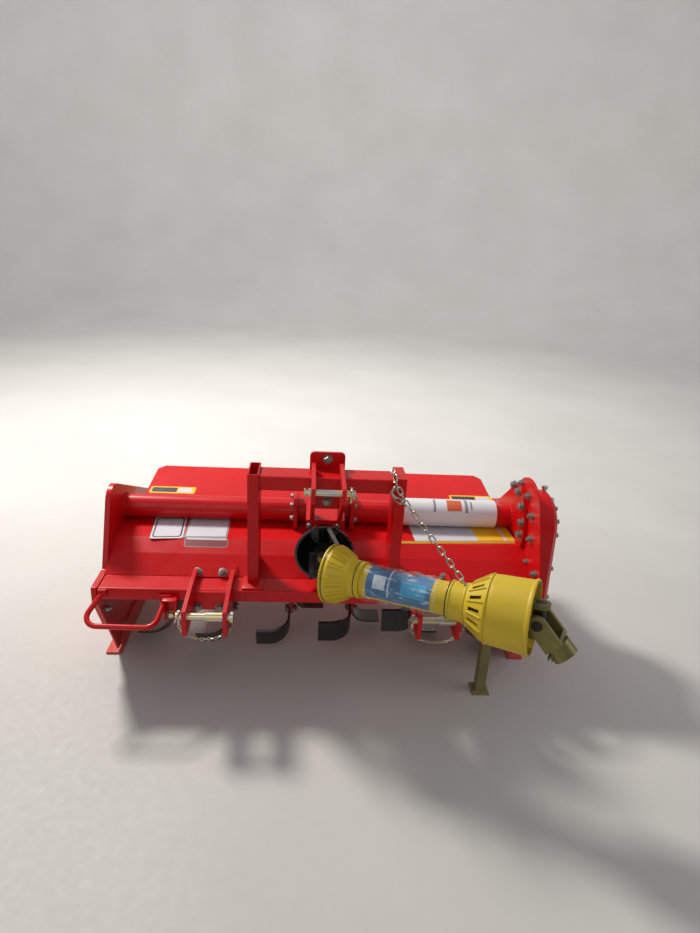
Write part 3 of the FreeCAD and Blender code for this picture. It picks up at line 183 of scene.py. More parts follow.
# %% [markdown]
# Sprayed paint and moulded plastic are never quite flat. Paint has the soft ripple called orange peel,
# plastic has a fine grain. One group gives a height for a Bump node, from a wide and a fine noise, each
# with its share.

# %% Surface relief group
relief, relief_in, relief_out = new_group(
    "surface_relief",
    (("Wide Scale", "Float", 60.0), ("Fine Scale", "Float", 600.0), ("Fine Share", "Float", 0.3)),
    (("Height", "Float"),))
place = node(relief, "TexCoord").outputs["Object"]
wide = node(relief, "TexNoise")
small = node(relief, "TexNoise")
for item, label in ((wide, "Wide Scale"), (small, "Fine Scale")):
    put(item, Detail=2.0)
    relief.links.new(place, item.inputs["Vector"])
    relief.links.new(relief_in.outputs[label], item.inputs["Scale"])
share = sums(relief, "MULTIPLY", small.outputs["Fac"], relief_in.outputs["Fine Share"])
relief.links.new(sums(relief, "ADD", wide.outputs["Fac"], share), relief_out.inputs["Height"])
print("group", relief.name, "has", len(relief.nodes), "nodes")

# %% [markdown]
# ## Finishes
#
# Every painted or moulded finish is the same chain: a colour that drifts a little over the piece, the dust
# group, a Principled shader, and a bump from the relief group. Only the values of each call differ.

# %% Painted and moulded finishes
def finish(name, colour, darker, rough=0.3, metal=0.0, coat=0.0, dusty=0.3, low_line=0.25, drift=5.0,
           wide=60.0, fine=600.0, share=0.3, depth=0.0002, strength=0.25, edge=0.0, gloss=0.5):
    """A material with drifting colour, dust and relief."""
    material, tree, shader, place = new_material(name)
    mask = span(tree, noise(tree, place, drift, 5.0), 0.3, 0.7)
    film = node(tree, "Group", node_tree=dust)
    tree.links.new(blend_colours(tree, mask, colour, darker), film.inputs["Paint"])
    put(film, Amount=dusty, Clean_Roughness=rough, Low_Line=low_line)
    tree.links.new(film.outputs["Color"], shader.inputs["Base Color"])
    tree.links.new(film.outputs["Roughness"], shader.inputs["Roughness"])
    ripple = node(tree, "Group", node_tree=relief)
    put(ripple, Wide_Scale=wide, Fine_Scale=fine, Fine_Share=share)
    bump = node(tree, "Bump")
    put(bump, Strength=strength, Distance=depth)
    tree.links.new(ripple.outputs["Height"], bump.inputs["Height"])
    if edge:
        soft = node(tree, "Bevel", samples=6)
        put(soft, Radius=edge)
        tree.links.new(soft.outputs["Normal"], bump.inputs["Normal"])
    tree.links.new(bump.outputs["Normal"], shader.inputs["Normal"])
    put(shader, Metallic=metal, Specular_IOR_Level=gloss, Coat_Weight=coat, Coat_Roughness=0.08)
    return material


RED = (0.62, 0.0015, 0.0035)
RED_DEEP = (0.50, 0.0010, 0.0030)
red_paint = finish("red_enamel", RED, RED_DEEP, rough=0.30, coat=0.10, dusty=0.04, drift=3.0, wide=14.0,
                   fine=420.0, share=0.12, depth=0.0003, strength=0.10, edge=0.0016, gloss=0.26)
skid_paint = finish("red_enamel_low", RED, RED_DEEP, rough=0.34, coat=0.05, dusty=0.45, low_line=0.10,
                    edge=0.0016, gloss=0.3)
cast_paint = finish("red_over_casting", RED, RED_DEEP, rough=0.32, coat=0.1, dusty=0.05, wide=140.0,
                    fine=500.0, share=0.5, depth=0.0008, strength=0.5, edge=0.003, gloss=0.3)
guard_yellow = finish("yellow_guard_plastic", (0.66, 0.465, 0.012), (0.55, 0.38, 0.012), rough=0.40,
                      dusty=0.10, low_line=0.15, wide=40.0, fine=900.0, share=0.4, strength=0.15)
ring_white = finish("pale_bearing_plastic", (0.72, 0.70, 0.62), (0.62, 0.60, 0.52), rough=0.5)
paper_white = finish("white_paper_roll", (0.78, 0.77, 0.80), (0.72, 0.71, 0.75), rough=0.38, coat=0.3,
                     dusty=0.05, wide=30.0, fine=300.0, depth=0.0006, strength=0.3)
shield_black = finish("black_shield_plastic", (0.010, 0.010, 0.011), (0.016, 0.016, 0.016), rough=0.22,
                      coat=0.3, dusty=0.04, fine=700.0, share=0.3, strength=0.15)
dark_steel = finish("black_oiled_steel", (0.018, 0.017, 0.015), (0.035, 0.032, 0.026), rough=0.38, metal=0.4,
                    dusty=0.05, drift=30.0, edge=0.002)
olive_steel = finish("olive_plated_steel", (0.24, 0.20, 0.055), (0.15, 0.13, 0.045), rough=0.34, metal=0.5,
                     dusty=0.12, drift=18.0, fine=500.0, share=0.6, depth=0.0004, strength=0.5, edge=0.002)
olive_stand = finish("olive_stand_paint", (0.24, 0.20, 0.060), (0.16, 0.135, 0.045), rough=0.46, dusty=0.3,
                     low_line=0.10, edge=0.0012)
print("finishes so far:", len(bpy.data.materials))

# %% [markdown]
# Zinc-plated pins and bolts are bright metal that drifts between silver, blue and straw yellow. A fine
# relief makes their faces a little uneven. Only values differ from the finishes above, so the same function
# makes them, with metal at full or close to it.

# %% Plated metal
zinc = finish("plated_zinc", (0.62, 0.60, 0.52), (0.50, 0.52, 0.56), rough=0.28, metal=1.0, dusty=0.12,
              drift=40.0, fine=900.0, share=0.7, depth=0.0002, strength=0.3)
zinc_gold = finish("straw_yellow_zinc", (0.78, 0.58, 0.22), (0.46, 0.52, 0.60), rough=0.3, metal=1.0,
                   dusty=0.06, drift=34.0, fine=900.0, share=0.7, depth=0.0002, strength=0.3)
bolt_grey = finish("grey_bolt", (0.36, 0.35, 0.33), (0.24, 0.23, 0.22), rough=0.42, metal=0.9, dusty=0.2,
                   drift=90.0, fine=900.0, share=0.7, depth=0.0003, strength=0.4)
chain_steel = finish("chain_steel", (0.55, 0.50, 0.42), (0.40, 0.36, 0.30), rough=0.35, metal=1.0, dusty=0.2,
                     drift=80.0)
bare_steel = finish("oiled_steel", (0.30, 0.28, 0.25), (0.18, 0.16, 0.14), rough=0.3, metal=1.0, dusty=0.1)

# %% [markdown]
# The rotor is one solid, but on the machine its blades are painted black and its tube and flanges red. A
# mask from the place tells them apart: near the axis, or inside the thin slice of a flange, is red, and the
# rest is black. A Math node in ping-pong mode folds x back and forth, so that one slice stands for all six
# flanges.

# %% Rotor finish
rotor_mat = finish("rotor_paint", (0.010, 0.010, 0.011), (0.020, 0.019, 0.018), rough=0.34, coat=0.2,
                   dusty=0.22, low_line=0.12, edge=0.0012)
FLANGE_FIRST, FLANGE_STEP = -518.0, 209.0
HALF_SLICE, DISC_RADIUS, TUBE_RADIUS = 0.0042, 0.0956, 0.0395
tree = rotor_mat.node_tree
axis = spot(FLANGE_FIRST, ROTOR_Y, ROTOR_Z)
parts = node(tree, "SeparateXYZ")
tree.links.new(node(tree, "TexCoord").outputs["Object"], parts.inputs[0])
dx, dy, dz = [sums(tree, "SUBTRACT", parts.outputs[i], axis[i]) for i in range(3)]
squares = sums(tree, "ADD", sums(tree, "MULTIPLY", dy, dy), sums(tree, "MULTIPLY", dz, dz))
radius = sums(tree, "SQRT", squares, 0)
in_slice = sums(tree, "LESS_THAN", sums(tree, "PINGPONG", dx, FLANGE_STEP / 2000), HALF_SLICE)
in_disc = sums(tree, "LESS_THAN", radius, DISC_RADIUS)
near_axis = sums(tree, "LESS_THAN", radius, TUBE_RADIUS)
red_mask = sums(tree, "MAXIMUM", near_axis, sums(tree, "MULTIPLY", in_slice, in_disc))
film = next(item for item in tree.nodes if item.bl_idname == "ShaderNodeGroup" and item.node_tree == dust)
black = film.inputs["Paint"].links[0].from_socket
tree.links.new(blend_colours(tree, red_mask, black, RED_DEEP), film.inputs["Paint"])
print("rotor axis at", tuple(round(value, 4) for value in axis))

# %% [markdown]
# The solids themselves stay as they are. Only the material in their slots is exchanged, and nodes that came
# from the same paint pot or the same bath share one.

# %% Dress the CAD nodes
DRESS = (
    (red_paint, "front_bar hood left_side_plate right_side_plate left_tube right_tube cross_bar tailboard "
                "left_upright right_upright top_link_bracket left_hitch_bracket right_hitch_bracket "
                "left_guard_hoop right_guard_hoop stand_socket mast_back_plate gearbox_stay side_drive_case"),
    (skid_paint, "left_skid right_skid"),
    (cast_paint, "gearbox left_bearing"),
    (guard_yellow, "inner_cone guard_tube guard_collar outer_cup"),
    (ring_white, "guard_bearings"),
    (paper_white, "document_sleeve"),
    (shield_black, "pto_shield"),
    (olive_steel, "drive_shaft outer_yoke tractor_hub"),
    (dark_steel, "inner_yoke inner_cross outer_cross"),
    (olive_stand, "stand_leg"),
    (zinc_gold, "top_link_pin left_hitch_pin right_hitch_pin linch_pins"),
    (zinc, "stand_screw hinge_pin breather"),
    (bare_steel, "input_shaft"),
    (chain_steel, "hold_up_chain"),
    (rotor_mat, "rotor"),
)
dressed = set()
for material, names in DRESS:
    for name in names.split():
        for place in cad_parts[name].material_slots:
            place.material = material
        dressed.add(name)
print("not dressed:", sorted(set(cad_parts) - dressed))

# %% [markdown]
# ## Small hardware
#
# A piece starts as an empty bmesh. Blender's create operators put simple shapes into it, each with a matrix
# that says where it stands. The helper below turns the finished bmesh into an object at the origin, gives
# it its finishes and lets it ride on one body of the machine.

# %% Piece helper
def new_object(name, bm):
    """Object at the origin with a bmesh's shape."""
    mesh = bpy.data.meshes.new(name)
    bm.to_mesh(mesh)
    bm.free()
    made = bpy.data.objects.new(name, mesh)
    scene.collection.objects.link(made)
    return made


def piece(name, bm, finishes, body="frame", smooth=35):
    """Piece from a bmesh: faces outwards, edges sharper than an angle kept, riding on a body."""
    bmesh.ops.recalc_face_normals(bm, faces=bm.faces)
    for face in bm.faces:
        face.smooth = True
    for edge in bm.edges:
        if len(edge.link_faces) == 2:
            edge.smooth = edge.calc_face_angle() < radians(smooth)
    made = new_object(name, bm)
    for item in finishes:
        made.data.materials.append(item)
    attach(made, body)
    print("%-22s %6d faces" % (name, len(made.data.polygons)))
    return made


def stand_at(where, up):
    """Matrix that puts local +Z along a direction at a place."""
    return Matrix.Translation(where) @ Vector(up).to_track_quat("Z", "Y").to_matrix().to_4x4()


def axes(x_way, y_way, z_way):
    """Matrix that turns a shape's own axes to three directions."""
    return Matrix((x_way, y_way, z_way)).transposed().to_4x4()


def add_box(bm, middle, size, turn=Matrix.Identity(4)):
    scale = Matrix.Diagonal((*size, 1))
    bmesh.ops.create_cube(bm, size=1, matrix=Matrix.Translation(middle) @ turn @ scale)


def add_round(bm, base, foot, tall, radius, tip=None, sides=20):
    """Cylinder or cone that stands so high over its base. It returns the new vertices."""
    where = base @ Matrix.Translation((0, 0, foot + tall / 2))
    return bmesh.ops.create_cone(bm, cap_ends=True, segments=sides, radius1=radius, radius2=tip or radius,
                                 depth=tall, matrix=where)["verts"]


# %% [markdown]
# A bolt is a washer and a hexagon head. The head's top rim is bevelled, because a sharp hexagon catches no
# light. A nut is the same head with the end of the bolt standing out of it. All of one body's bolts are one
# piece, made in a loop from a table of places, since they are the same thing many times over.

# %% Bolt shape
def add_bolt(bm, where, up, across=0.019, nut=False, washer=True):
    """Hexagon head or nut on a washer. Its foot is at the place and it points along up."""
    base = stand_at(where, up)
    foot = 0.0022 if washer else 0.0
    if washer:
        add_round(bm, base, 0, foot, across * 0.72)
    tall = across * 0.55
    head = add_round(bm, base, foot, tall, across * 0.577, sides=6)
    top = base @ Vector((0, 0, foot + tall))
    rim = [edge for edge in {edge for vert in head for edge in vert.link_edges}
           if all((vert.co - top).length < across * 0.62 for vert in edge.verts)]
    bmesh.ops.bevel(bm, geom=rim, offset=across * 0.07, segments=2, profile=0.5, affect="EDGES", material=-1)
    if nut:
        add_round(bm, base, foot + tall - across * 0.02, across * 0.34, across * 0.31, across * 0.27, 14)


# %% [markdown]
# The places were read from the photograph and set on the faces they belong to. Those of the hood's front
# slope and of the side plates stand square to their face, so each row also gives the way that its bolt
# points.

# %% Bolts on the frame
FRONT, LEFT, RIGHT = (0, -1, 0), (-1, 0, 0), (1, 0, 0)
SLOPE = Vector((0, -44, 65)).normalized()


def hood_slope(x, along, lift):
    """A place over the hood's front slope, so far along it from the front bar."""
    run = Vector((0, 65, 44)).normalized() * along
    return spot(x, -20 + run.y + SLOPE.y * lift, 350 + run.z + SLOPE.z * lift)


def round_spot(x, y, z, radius, degrees):
    """A place on a circle seen from the side, counted from the rear upwards."""
    angle = radians(degrees)
    return spot(x, y + radius * cos(angle), z + radius * sin(angle))


bolts = bmesh.new()
# Upper and lower ends of the hitch brackets.
for x in (-397, -318, 312, 392):
    add_bolt(bolts, hood_slope(x, 10, 8.3), SLOPE, 0.020, nut=True)
for x in (-383, -315, 309, 371):
    add_bolt(bolts, spot(x, -108.3, 296), FRONT, 0.019)
# The stay over the shield, the top link bracket and the plate behind the mast.
for x in (-49, 37):
    add_bolt(bolts, spot(x, -22, 543), FRONT, 0.015, washer=False)
add_bolt(bolts, spot(0, -46, 635), FRONT, 0.019)
add_bolt(bolts, spot(0, 30, 741), FRONT, 0.022)
# Both faces of the gearbox, where the axle tubes end.
for degrees, drop in ((105, 0), (140, 0), (170, 14)):
    for hand, way in ((-1, LEFT), (1, RIGHT)):
        add_bolt(bolts, round_spot(hand * 104, TUBE_Y, TUBE_Z - drop, 62, degrees), way, 0.016)
# The right tube's flange, the side plates with their skids, and the left bearing.
for y, z in ((186, 588), (236, 592), (135, 556), (114, 505), (114, 459)):
    add_bolt(bolts, spot(671.7, y, z), LEFT, 0.022)
for y, z in ((200, 614), (122, 600), (65, 552), (40, 481), (48, 389), (39, 346), (-40, 396), (500, 70)):
    add_bolt(bolts, spot(PLATE_X, y, z), LEFT, 0.019, nut=True)
for y, z in ((44, 333), (-38, 237)):
    add_bolt(bolts, spot(-PLATE_X, y, z), RIGHT, 0.019, nut=True)
for y in (105, 330):
    add_bolt(bolts, spot(-PLATE_X, y, 70), RIGHT, 0.019, nut=True)
    add_bolt(bolts, spot(PLATE_X, y, 70), LEFT, 0.019, nut=True)
for degrees in range(30, 360, 60):
    add_bolt(bolts, round_spot(-698.3, ROTOR_Y, ROTOR_Z, 56, degrees), LEFT, 0.015)
piece("frame_bolts", bolts, [bolt_grey])

# %% [markdown]
# The side drive case is closed by a cover, held by a ring of bolts near its edge. The ring follows the
# case's outline: an arc round the upper middle, an arc round the rotor, and bolts between them.

# %% Bolts of the side drive case
cover = bmesh.new()
case_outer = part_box("side_drive_case")[1]
face = (case_outer[0] - HITCH_X) * 1000
for degrees in range(-30, 211, 30):
    add_bolt(cover, round_spot(face, 215, 455, 92, degrees), RIGHT, 0.015)
for degrees in range(165, 376, 35):
    add_bolt(cover, round_spot(face, ROTOR_Y, ROTOR_Z, 64, degrees), RIGHT, 0.015)
for y in (112, 274):
    add_bolt(cover, spot(face, y, 330), RIGHT, 0.015)
piece("case_cover_bolts", cover, [bolt_grey])

# %% [markdown]
# Each blade is held on its flange by two bolts, heads on the blade's side and nuts on the other. They turn
# with the rotor, so they are a piece of their own that rides on it. The flange numbers are those of the CAD
# model.

# %% Rotor bolts
rotor_bolts = bmesh.new()
BLADE_PHASE, BLADE_LAG = 177.0, 18.5
for i in range(6):
    x = FLANGE_FIRST + FLANGE_STEP * i
    for k in range(4):
        hand = -1 if k % 2 == 0 else 1
        angle = radians(BLADE_PHASE + 90 * k - BLADE_LAG * i)
        for reach, side in ((70, -9), (82, 12)):
            y = ROTOR_Y - sin(angle) * reach + cos(angle) * side
            z = ROTOR_Z + cos(angle) * reach + sin(angle) * side
            add_bolt(rotor_bolts, spot(x + hand * 11.2, y, z), (hand, 0, 0), 0.017)
            add_bolt(rotor_bolts, spot(x - hand * 4.2, y, z), (-hand, 0, 0), 0.017, nut=True)
piece("rotor_bolts", rotor_bolts, [bolt_grey], body="rotor")

# %% [markdown]
# ## Chains
#
# A link is round wire bent to two straight sides and two half circles. A circle of wire is spun half a
# turn, extruded along one side, spun again and extruded back to where it began. The chain repeats that
# link, each one turned a quarter against the last, with its ends at knots a fixed distance apart along the
# chain's path.

# %% One link
def verts_of(items):
    return [item for item in items if isinstance(item, bmesh.types.BMVert)]


def edges_of(items):
    return [item for item in items if isinstance(item, bmesh.types.BMEdge)]


def sweep(bm, geom, middle, axis, angle, steps, merge=False, shift=(0, 0, 0)):
    """Spins vertices or edges round an axis. It returns what the last step made."""
    return bmesh.ops.spin(bm, geom=geom, cent=middle, axis=axis, angle=angle, steps=steps, dvec=shift,
                          use_merge=merge, use_duplicate=False)["geom_last"]


def wire_ring(bm, wire, sides, where):
    """Edges of a circle, the section of a wire."""
    made = bmesh.ops.create_circle(bm, segments=sides, radius=wire / 2, matrix=where)["verts"]
    return list({edge for vert in made for edge in vert.link_edges})


def link_mesh(pitch, width, wire, sides=8, steps=6):
    """Round-wire link along X, about the origin, whose inner length is the chain's pitch."""
    bm = bmesh.new()
    bend = (width - wire) / 2
    flat = pitch / 2 + wire / 2 - bend
    start = Matrix.Translation((flat, -bend, 0)) @ Matrix.Rotation(pi / 2, 4, "Y")
    edges = wire_ring(bm, wire, sides, start)
    for side in (1, -1):
        edges = edges_of(sweep(bm, edges, (side * flat, 0, 0), UP, pi, steps))
        pulled = bmesh.ops.extrude_edge_only(bm, edges=edges)["geom"]
        bmesh.ops.translate(bm, verts=verts_of(pulled), vec=(-2 * side * flat, 0, 0))
        edges = edges_of(pulled)
    bmesh.ops.remove_doubles(bm, verts=bm.verts, dist=wire / 50)
    mesh = bpy.data.meshes.new("link")
    bm.to_mesh(mesh)
    bm.free()
    return mesh


# %% Chain along a path
def knots_along(path, pitch):
    """Points a fixed distance apart along a path of straight runs."""
    knots = [path[0]]
    i, left, here = 1, pitch, path[0]
    while i < len(path):
        run = path[i] - here
        if run.length < left:
            left -= run.length
            here = path[i]
            i += 1
            continue
        here = here + run.normalized() * left
        knots.append(here)
        left = pitch
    return knots


def add_chain(bm, path, pitch, width, wire, **shape):
    """Links from knot to knot, each a quarter turn from the last. It returns the knots."""
    template = link_mesh(pitch, width, wire, **shape)
    knots = knots_along(path, pitch)
    for k in range(len(knots) - 1):
        turn = (knots[k + 1] - knots[k]).to_track_quat("X", "Z").to_matrix().to_4x4()
        turn = turn @ Matrix.Rotation(radians(45 + 90 * (k % 2)), 4, "X")
        start = len(bm.verts)
        bm.from_mesh(template)
        bm.verts.ensure_lookup_table()
        bmesh.ops.transform(bm, matrix=Matrix.Translation((knots[k] + knots[k + 1]) / 2) @ turn,
                            verts=bm.verts[start:])
    return knots


# %% [markdown]
# The hold-up chain hangs from the right mast post and carries the drive shaft by the collar of its guard.
# In the CAD model it is a row of flat links, which is right for touching and wrong for looking at, so this
# piece replaces it. It goes over the post's top, down its front, and on to a square hole in the collar. Its
# pitch is fitted to the path, so that a whole number of links reaches the hole. The chain's spare end hangs
# beside it.

# %% Hold-up chain
shaft_start = spot(0, -165, 464)
shaft_way = Vector((519, -285, 50)).normalized()
shaft_side = shaft_way.cross(UP).normalized()
shaft_up = shaft_side.cross(shaft_way).normalized()
collar_hole = shaft_start + shaft_way * 0.4215
LINK, LINK_WIDE, LINK_WIRE = 0.0225, 0.017, 0.0045
HOLD_PATH = ((196, -10, 728.5), (199, -58, 729), (199, -70, 716), (223, -119, 677), (258, -173, 643),
             (290, -227, 615), (324, -287, 586))
SPARE_END = ((199, -72, 700), (188, -74, 678), (205, -82, 664), (222, -96, 659), (236, -112, 655))
path = [spot(*place) for place in HOLD_PATH] + [collar_hole + shaft_up * 0.0515]
length = sum((path[i + 1] - path[i]).length for i in range(len(path) - 1))
hold = bmesh.new()
knots = add_chain(hold, path, length / round(length / LINK) - 1e-6, LINK_WIDE, LINK_WIRE)
add_chain(hold, [spot(*place) for place in SPARE_END], LINK, LINK_WIDE, LINK_WIRE)
links = piece("hold_up_chain_links", hold, [chain_steel])
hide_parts("hold_up_chain")
print("links:", len(knots) - 1)

# %% [markdown]
# Each lower hitch pin keeps its linch pin by a light gold chain, which hangs in a loop below the bracket.

# %% Pin chains
LOOP = ((-77, -214, 305), (-74, -216, 288), (-52, -217, 268), (-12, -217, 257), (30, -217, 262),
        (62, -217, 280), (78, -215, 300), (80, -214, 316))
pins = bmesh.new()
for hitch in (-HITCH_PIN, HITCH_PIN):
    add_chain(pins, [spot(hitch + x, y, z) for x, y, z in LOOP], 0.0105, 0.0085, 0.0022, sides=6, steps=4)
piece("pin_chain_links", pins, [zinc_gold])

# %% [markdown]
# ## Labels and stickers
#
# The labels are plain film. A field of another colour is a smaller film laid on the first, so a border is
# what shows round it. A one-face grid is scaled and turned onto its surface, a vertex bevel rounds its
# corners, and a short extrusion gives the film its thickness.

# %% Label shape
FILM = 0.0004


def add_label(bm, middle, across, up, size, corner, index):
    """Thin rounded sheet, square to across and up, in one of the piece's finishes."""
    x_way = Vector(across).normalized()
    y_way = (Vector(up) - x_way * Vector(up).dot(x_way)).normalized()
    normal = x_way.cross(y_way)
    scale = Matrix.Diagonal((*size, 1, 1))
    made = bmesh.ops.create_grid(bm, x_segments=1, y_segments=1, size=0.5,
                                 matrix=Matrix.Translation(middle) @ axes(x_way, y_way, normal) @ scale)
    rounded = bmesh.ops.bevel(bm, geom=made["verts"], offset=corner, segments=5, profile=0.5,
                              affect="VERTICES", material=-1)
    faces = list({face for vert in rounded["verts"] for face in vert.link_faces})
    for face in faces:
        face.material_index = index
    lifted = bmesh.ops.extrude_face_region(bm, geom=faces, use_keep_orig=True)["geom"]
    bmesh.ops.translate(bm, verts=verts_of(lifted), vec=normal * FILM)


# %% Label finishes
def label_finish(name, colour, darker, dusty=0.15):
    return finish(name, colour, darker, rough=0.35, coat=0.2, dusty=dusty)


film_white = label_finish("label_white", (0.62, 0.62, 0.66), (0.55, 0.55, 0.60))
film_grey = label_finish("label_grey_border", (0.30, 0.29, 0.33), (0.25, 0.24, 0.29))
film_black = label_finish("label_black_border", (0.015, 0.015, 0.018), (0.025, 0.025, 0.028), dusty=0.3)
film_yellow = label_finish("label_yellow", (0.85, 0.50, 0.01), (0.78, 0.44, 0.01), dusty=0.1)
film_gold = label_finish("label_gold_line", (0.55, 0.31, 0.02), (0.48, 0.26, 0.02), dusty=0.1)
film_deep = label_finish("label_deep_red", (0.20, 0.004, 0.012), (0.16, 0.004, 0.01), dusty=0.3)

# %% [markdown]
# Two labels lie on the left half of the hood's flat top. The first has a white margin and a dark rounded
# line inside it. The second is larger, with a thin grey frame, and its deep red foot bends over the hood's
# front crease, so that part lies on the narrow facet below.

# %% Hood labels
DECK_Z = 421
REARWARD = (0, 1, 0)
FACET = Vector((0, 55, 27)).normalized()
FACET_OUT = Vector((0, -27, 55)).normalized()


def on_deck(x, y, layer=0):
    """A place on the hood's flat top, or on so many films over it."""
    return spot(x, y, DECK_Z + 0.25) + UP * FILM * layer


def on_facet(down, layer):
    """A place so far down the facet below the hood's front crease."""
    return spot(-385, 101, DECK_Z) - FACET * down + FACET_OUT * (0.00025 + FILM * layer)


MARGIN_LABEL = (((0.107, 0.158), 0.010, 0), ((0.094, 0.140), 0.013, 1), ((0.085, 0.131), 0.010, 0))
LABEL_FOOT = ((0.0180, (0.141, 0.036), 0.008, 2), (0.0172, (0.136, 0.031), 0.006, 3),
              (0.0040, (0.130, 0.007), 0.001, 0))
plates = bmesh.new()
for layer, row in enumerate(MARGIN_LABEL):
    add_label(plates, on_deck(-523, 171, layer), (1, 0.09, 0), REARWARD, *row)
add_label(plates, on_deck(-393, 174), (1, 0.03, 0), REARWARD, (0.142, 0.146), 0.010, 2)
add_label(plates, on_deck(-393, 178, 1), (1, 0.03, 0), REARWARD, (0.130, 0.130), 0.003, 0)
for layer, (down, *row) in enumerate(LABEL_FOOT):
    add_label(plates, on_facet(down, layer), RIGHT, FACET, *row)
piece("hood_labels", plates, [film_white, film_black, film_grey, film_deep])

# %% [markdown]
# Under the paper roll on the right a long sticker lies on the hood: white, then two fields of yellow to the
# right, with a gold line along its front edge.

# %% Stripe sticker
STRIPES = ((488, 194, 0, (0.356, 0.130), 0.003, 0), (580, 199, 1, (0.094, 0.128), 0.003, 1),
           (651, 203, 1, (0.028, 0.128), 0.003, 1), (464, 117, 0, (0.400, 0.017), 0.001, 2))
stripes = bmesh.new()
for x, y, layer, *row in STRIPES:
    add_label(stripes, on_deck(x, y, layer), (1, 0.055, 0), REARWARD, *row)
piece("stripe_sticker", stripes, [film_white, film_yellow, film_gold])

# %% [markdown]
# Two yellow-bordered labels sit at the tailboard's front edge, just behind the tubes. The tailboard turns
# on its hinge, so they ride on it. Their plane is the board's: it rises five degrees to the rear.

# %% Tailboard labels
HINGE_Y, HINGE_Z, BOARD_TOP = 392, 434, 4.3
rise = radians(5)
board_up = Vector((0, cos(rise), sin(rise)))


def on_board(x, back):
    """A place on the parked tailboard's top, so far behind its hinge."""
    return spot(x, HINGE_Y + back * cos(rise) - BOARD_TOP * sin(rise),
                HINGE_Z + back * sin(rise) + BOARD_TOP * cos(rise))


warnings = bmesh.new()
for x in (-566, 580):
    add_label(warnings, on_board(x, 46), RIGHT, board_up, (0.168, 0.052), 0.007, 1)
    for shift, wide, index in ((-30, 0.092, 2), (46, 0.050, 0)):
        where = on_board(x + shift, 46) + UP * FILM
        add_label(warnings, where, RIGHT, board_up, (wide, 0.034), 0.003, index)
piece("tailboard_labels", warnings, [film_white, film_yellow, film_black],
      body="tailboard_flap")


# %% [markdown]
# ## Welds
#
# Wherever two parts are welded the real machine shows a bead of overlapping drops under the paint. A bead
# is a row of small spheres of slightly different size, close enough to run together. Straight and round
# seams use the same drops and differ only in where the next drop goes.

# %% Weld beads
def add_drops(bm, places, size=0.0042):
    for k, where in enumerate(places):
        grow = size * (1.0 + 0.12 * sin(k * 2.4))
        bmesh.ops.create_uvsphere(bm, u_segments=8, v_segments=5, radius=grow,
                                  matrix=Matrix.Translation(where) @ Matrix.Rotation(0.7 * k, 4, "Z"))


def add_seam(bm, first, last, size=0.0042):
    """Straight bead from one place to another."""
    first, last = spot(*first), spot(*last)
    count = int((last - first).length / 0.0042)
    add_drops(bm, [first.lerp(last, k / count) for k in range(count + 1)], size)


def add_round_seam(bm, x, start, stop, radius=40.5, pitch=4.8):
    """Bead round an axle tube, between two angles."""
    count = int(radians(stop - start) * radius / pitch)
    turns = [start + (stop - start) * k / count for k in range(count + 1)]
    add_drops(bm, [round_spot(x, TUBE_Y, TUBE_Z, radius, turn) for turn in turns])


welds = bmesh.new()
for hand in (-1, 1):
    near, far = hand * 202.5, hand * 235.5
    add_seam(welds, (near, -60, 350.5), (far, -60, 350.5))
    for x in (near, far):
        add_seam(welds, (x, -58, 350.5), (x, -22, 350.5))
    for x in (hand * 202, hand * 48):
        add_seam(welds, (x, -50, 667), (x, -50, 710))
    add_seam(welds, (hand * 683.4, -98, 350.2), (hand * 683.4, -24, 350.2))
    for side in (-59, -53, 53, 59):
        x = hand * HITCH_PIN + side
        add_seam(welds, (x, -100.4, 314), (x, -100.4, 346), 0.0034)
add_round_seam(welds, -683.2, 20, 330)
add_round_seam(welds, 671.4, 60, 300)
piece("weld_beads", welds, [red_paint], smooth=60)

# %% [markdown]
# ## Small fittings on the front bar
#
# Each guard hoop is clamped below the bar: a short tapered channel holds its inner leg, and a gold bolt
# closes it. The mast's posts stand on square foot plates. The right ones follow the left ones by symmetry.

# %% Hoop clamps and feet
clamps, gold = bmesh.new(), bmesh.new()
for hand in (-1, 1):
    x = hand * 463
    for side, lean in ((-17, -6), (17, 5)):
        add_box(clamps, spot(x + side, -116, 292), (0.005, 0.030, 0.072),
                Matrix.Rotation(radians(lean), 4, "Y"))
    add_box(clamps, spot(x, -116, 327), (0.042, 0.031, 0.006))
    add_box(clamps, spot(x, -104, 294), (0.032, 0.006, 0.066))
    add_bolt(gold, spot(x, -107, 268), FRONT, 0.018)
    add_box(clamps, spot(hand * 217, -58, 352.9), (0.066, 0.072, 0.005))
bmesh.ops.bevel(clamps, geom=clamps.edges[:], offset=0.0012, segments=2, profile=0.5, affect="EDGES",
                material=-1)
piece("hoop_clamps", clamps, [red_paint])
piece("clamp_bolts", gold, [zinc_gold])

# %% [markdown]
# A thin coil spring holds the shield and the shaft's guard together at the top. A circle of wire is spun
# round the spring's own line while it moves along it, which draws a helix.

# %% Guard spring
spring_from, spring_to = spot(10, -62, 550), spot(34, -148, 543)
spring_way = (spring_to - spring_from).normalized()
spring_side = spring_way.cross(UP).normalized()
SPRING_WIRE, SPRING_RADIUS, TURNS, STEPS = 0.0017, 0.0052, 20, 240
coil = bmesh.new()
start = Matrix.Translation(spring_from + spring_side * SPRING_RADIUS)
start = start @ axes(spring_side, spring_way, spring_side.cross(spring_way))
sweep(coil, wire_ring(coil, SPRING_WIRE, 6, start), spring_from, spring_way, tau * TURNS, STEPS,
      shift=(spring_to - spring_from) / STEPS)
piece("guard_spring", coil, [zinc], smooth=80)

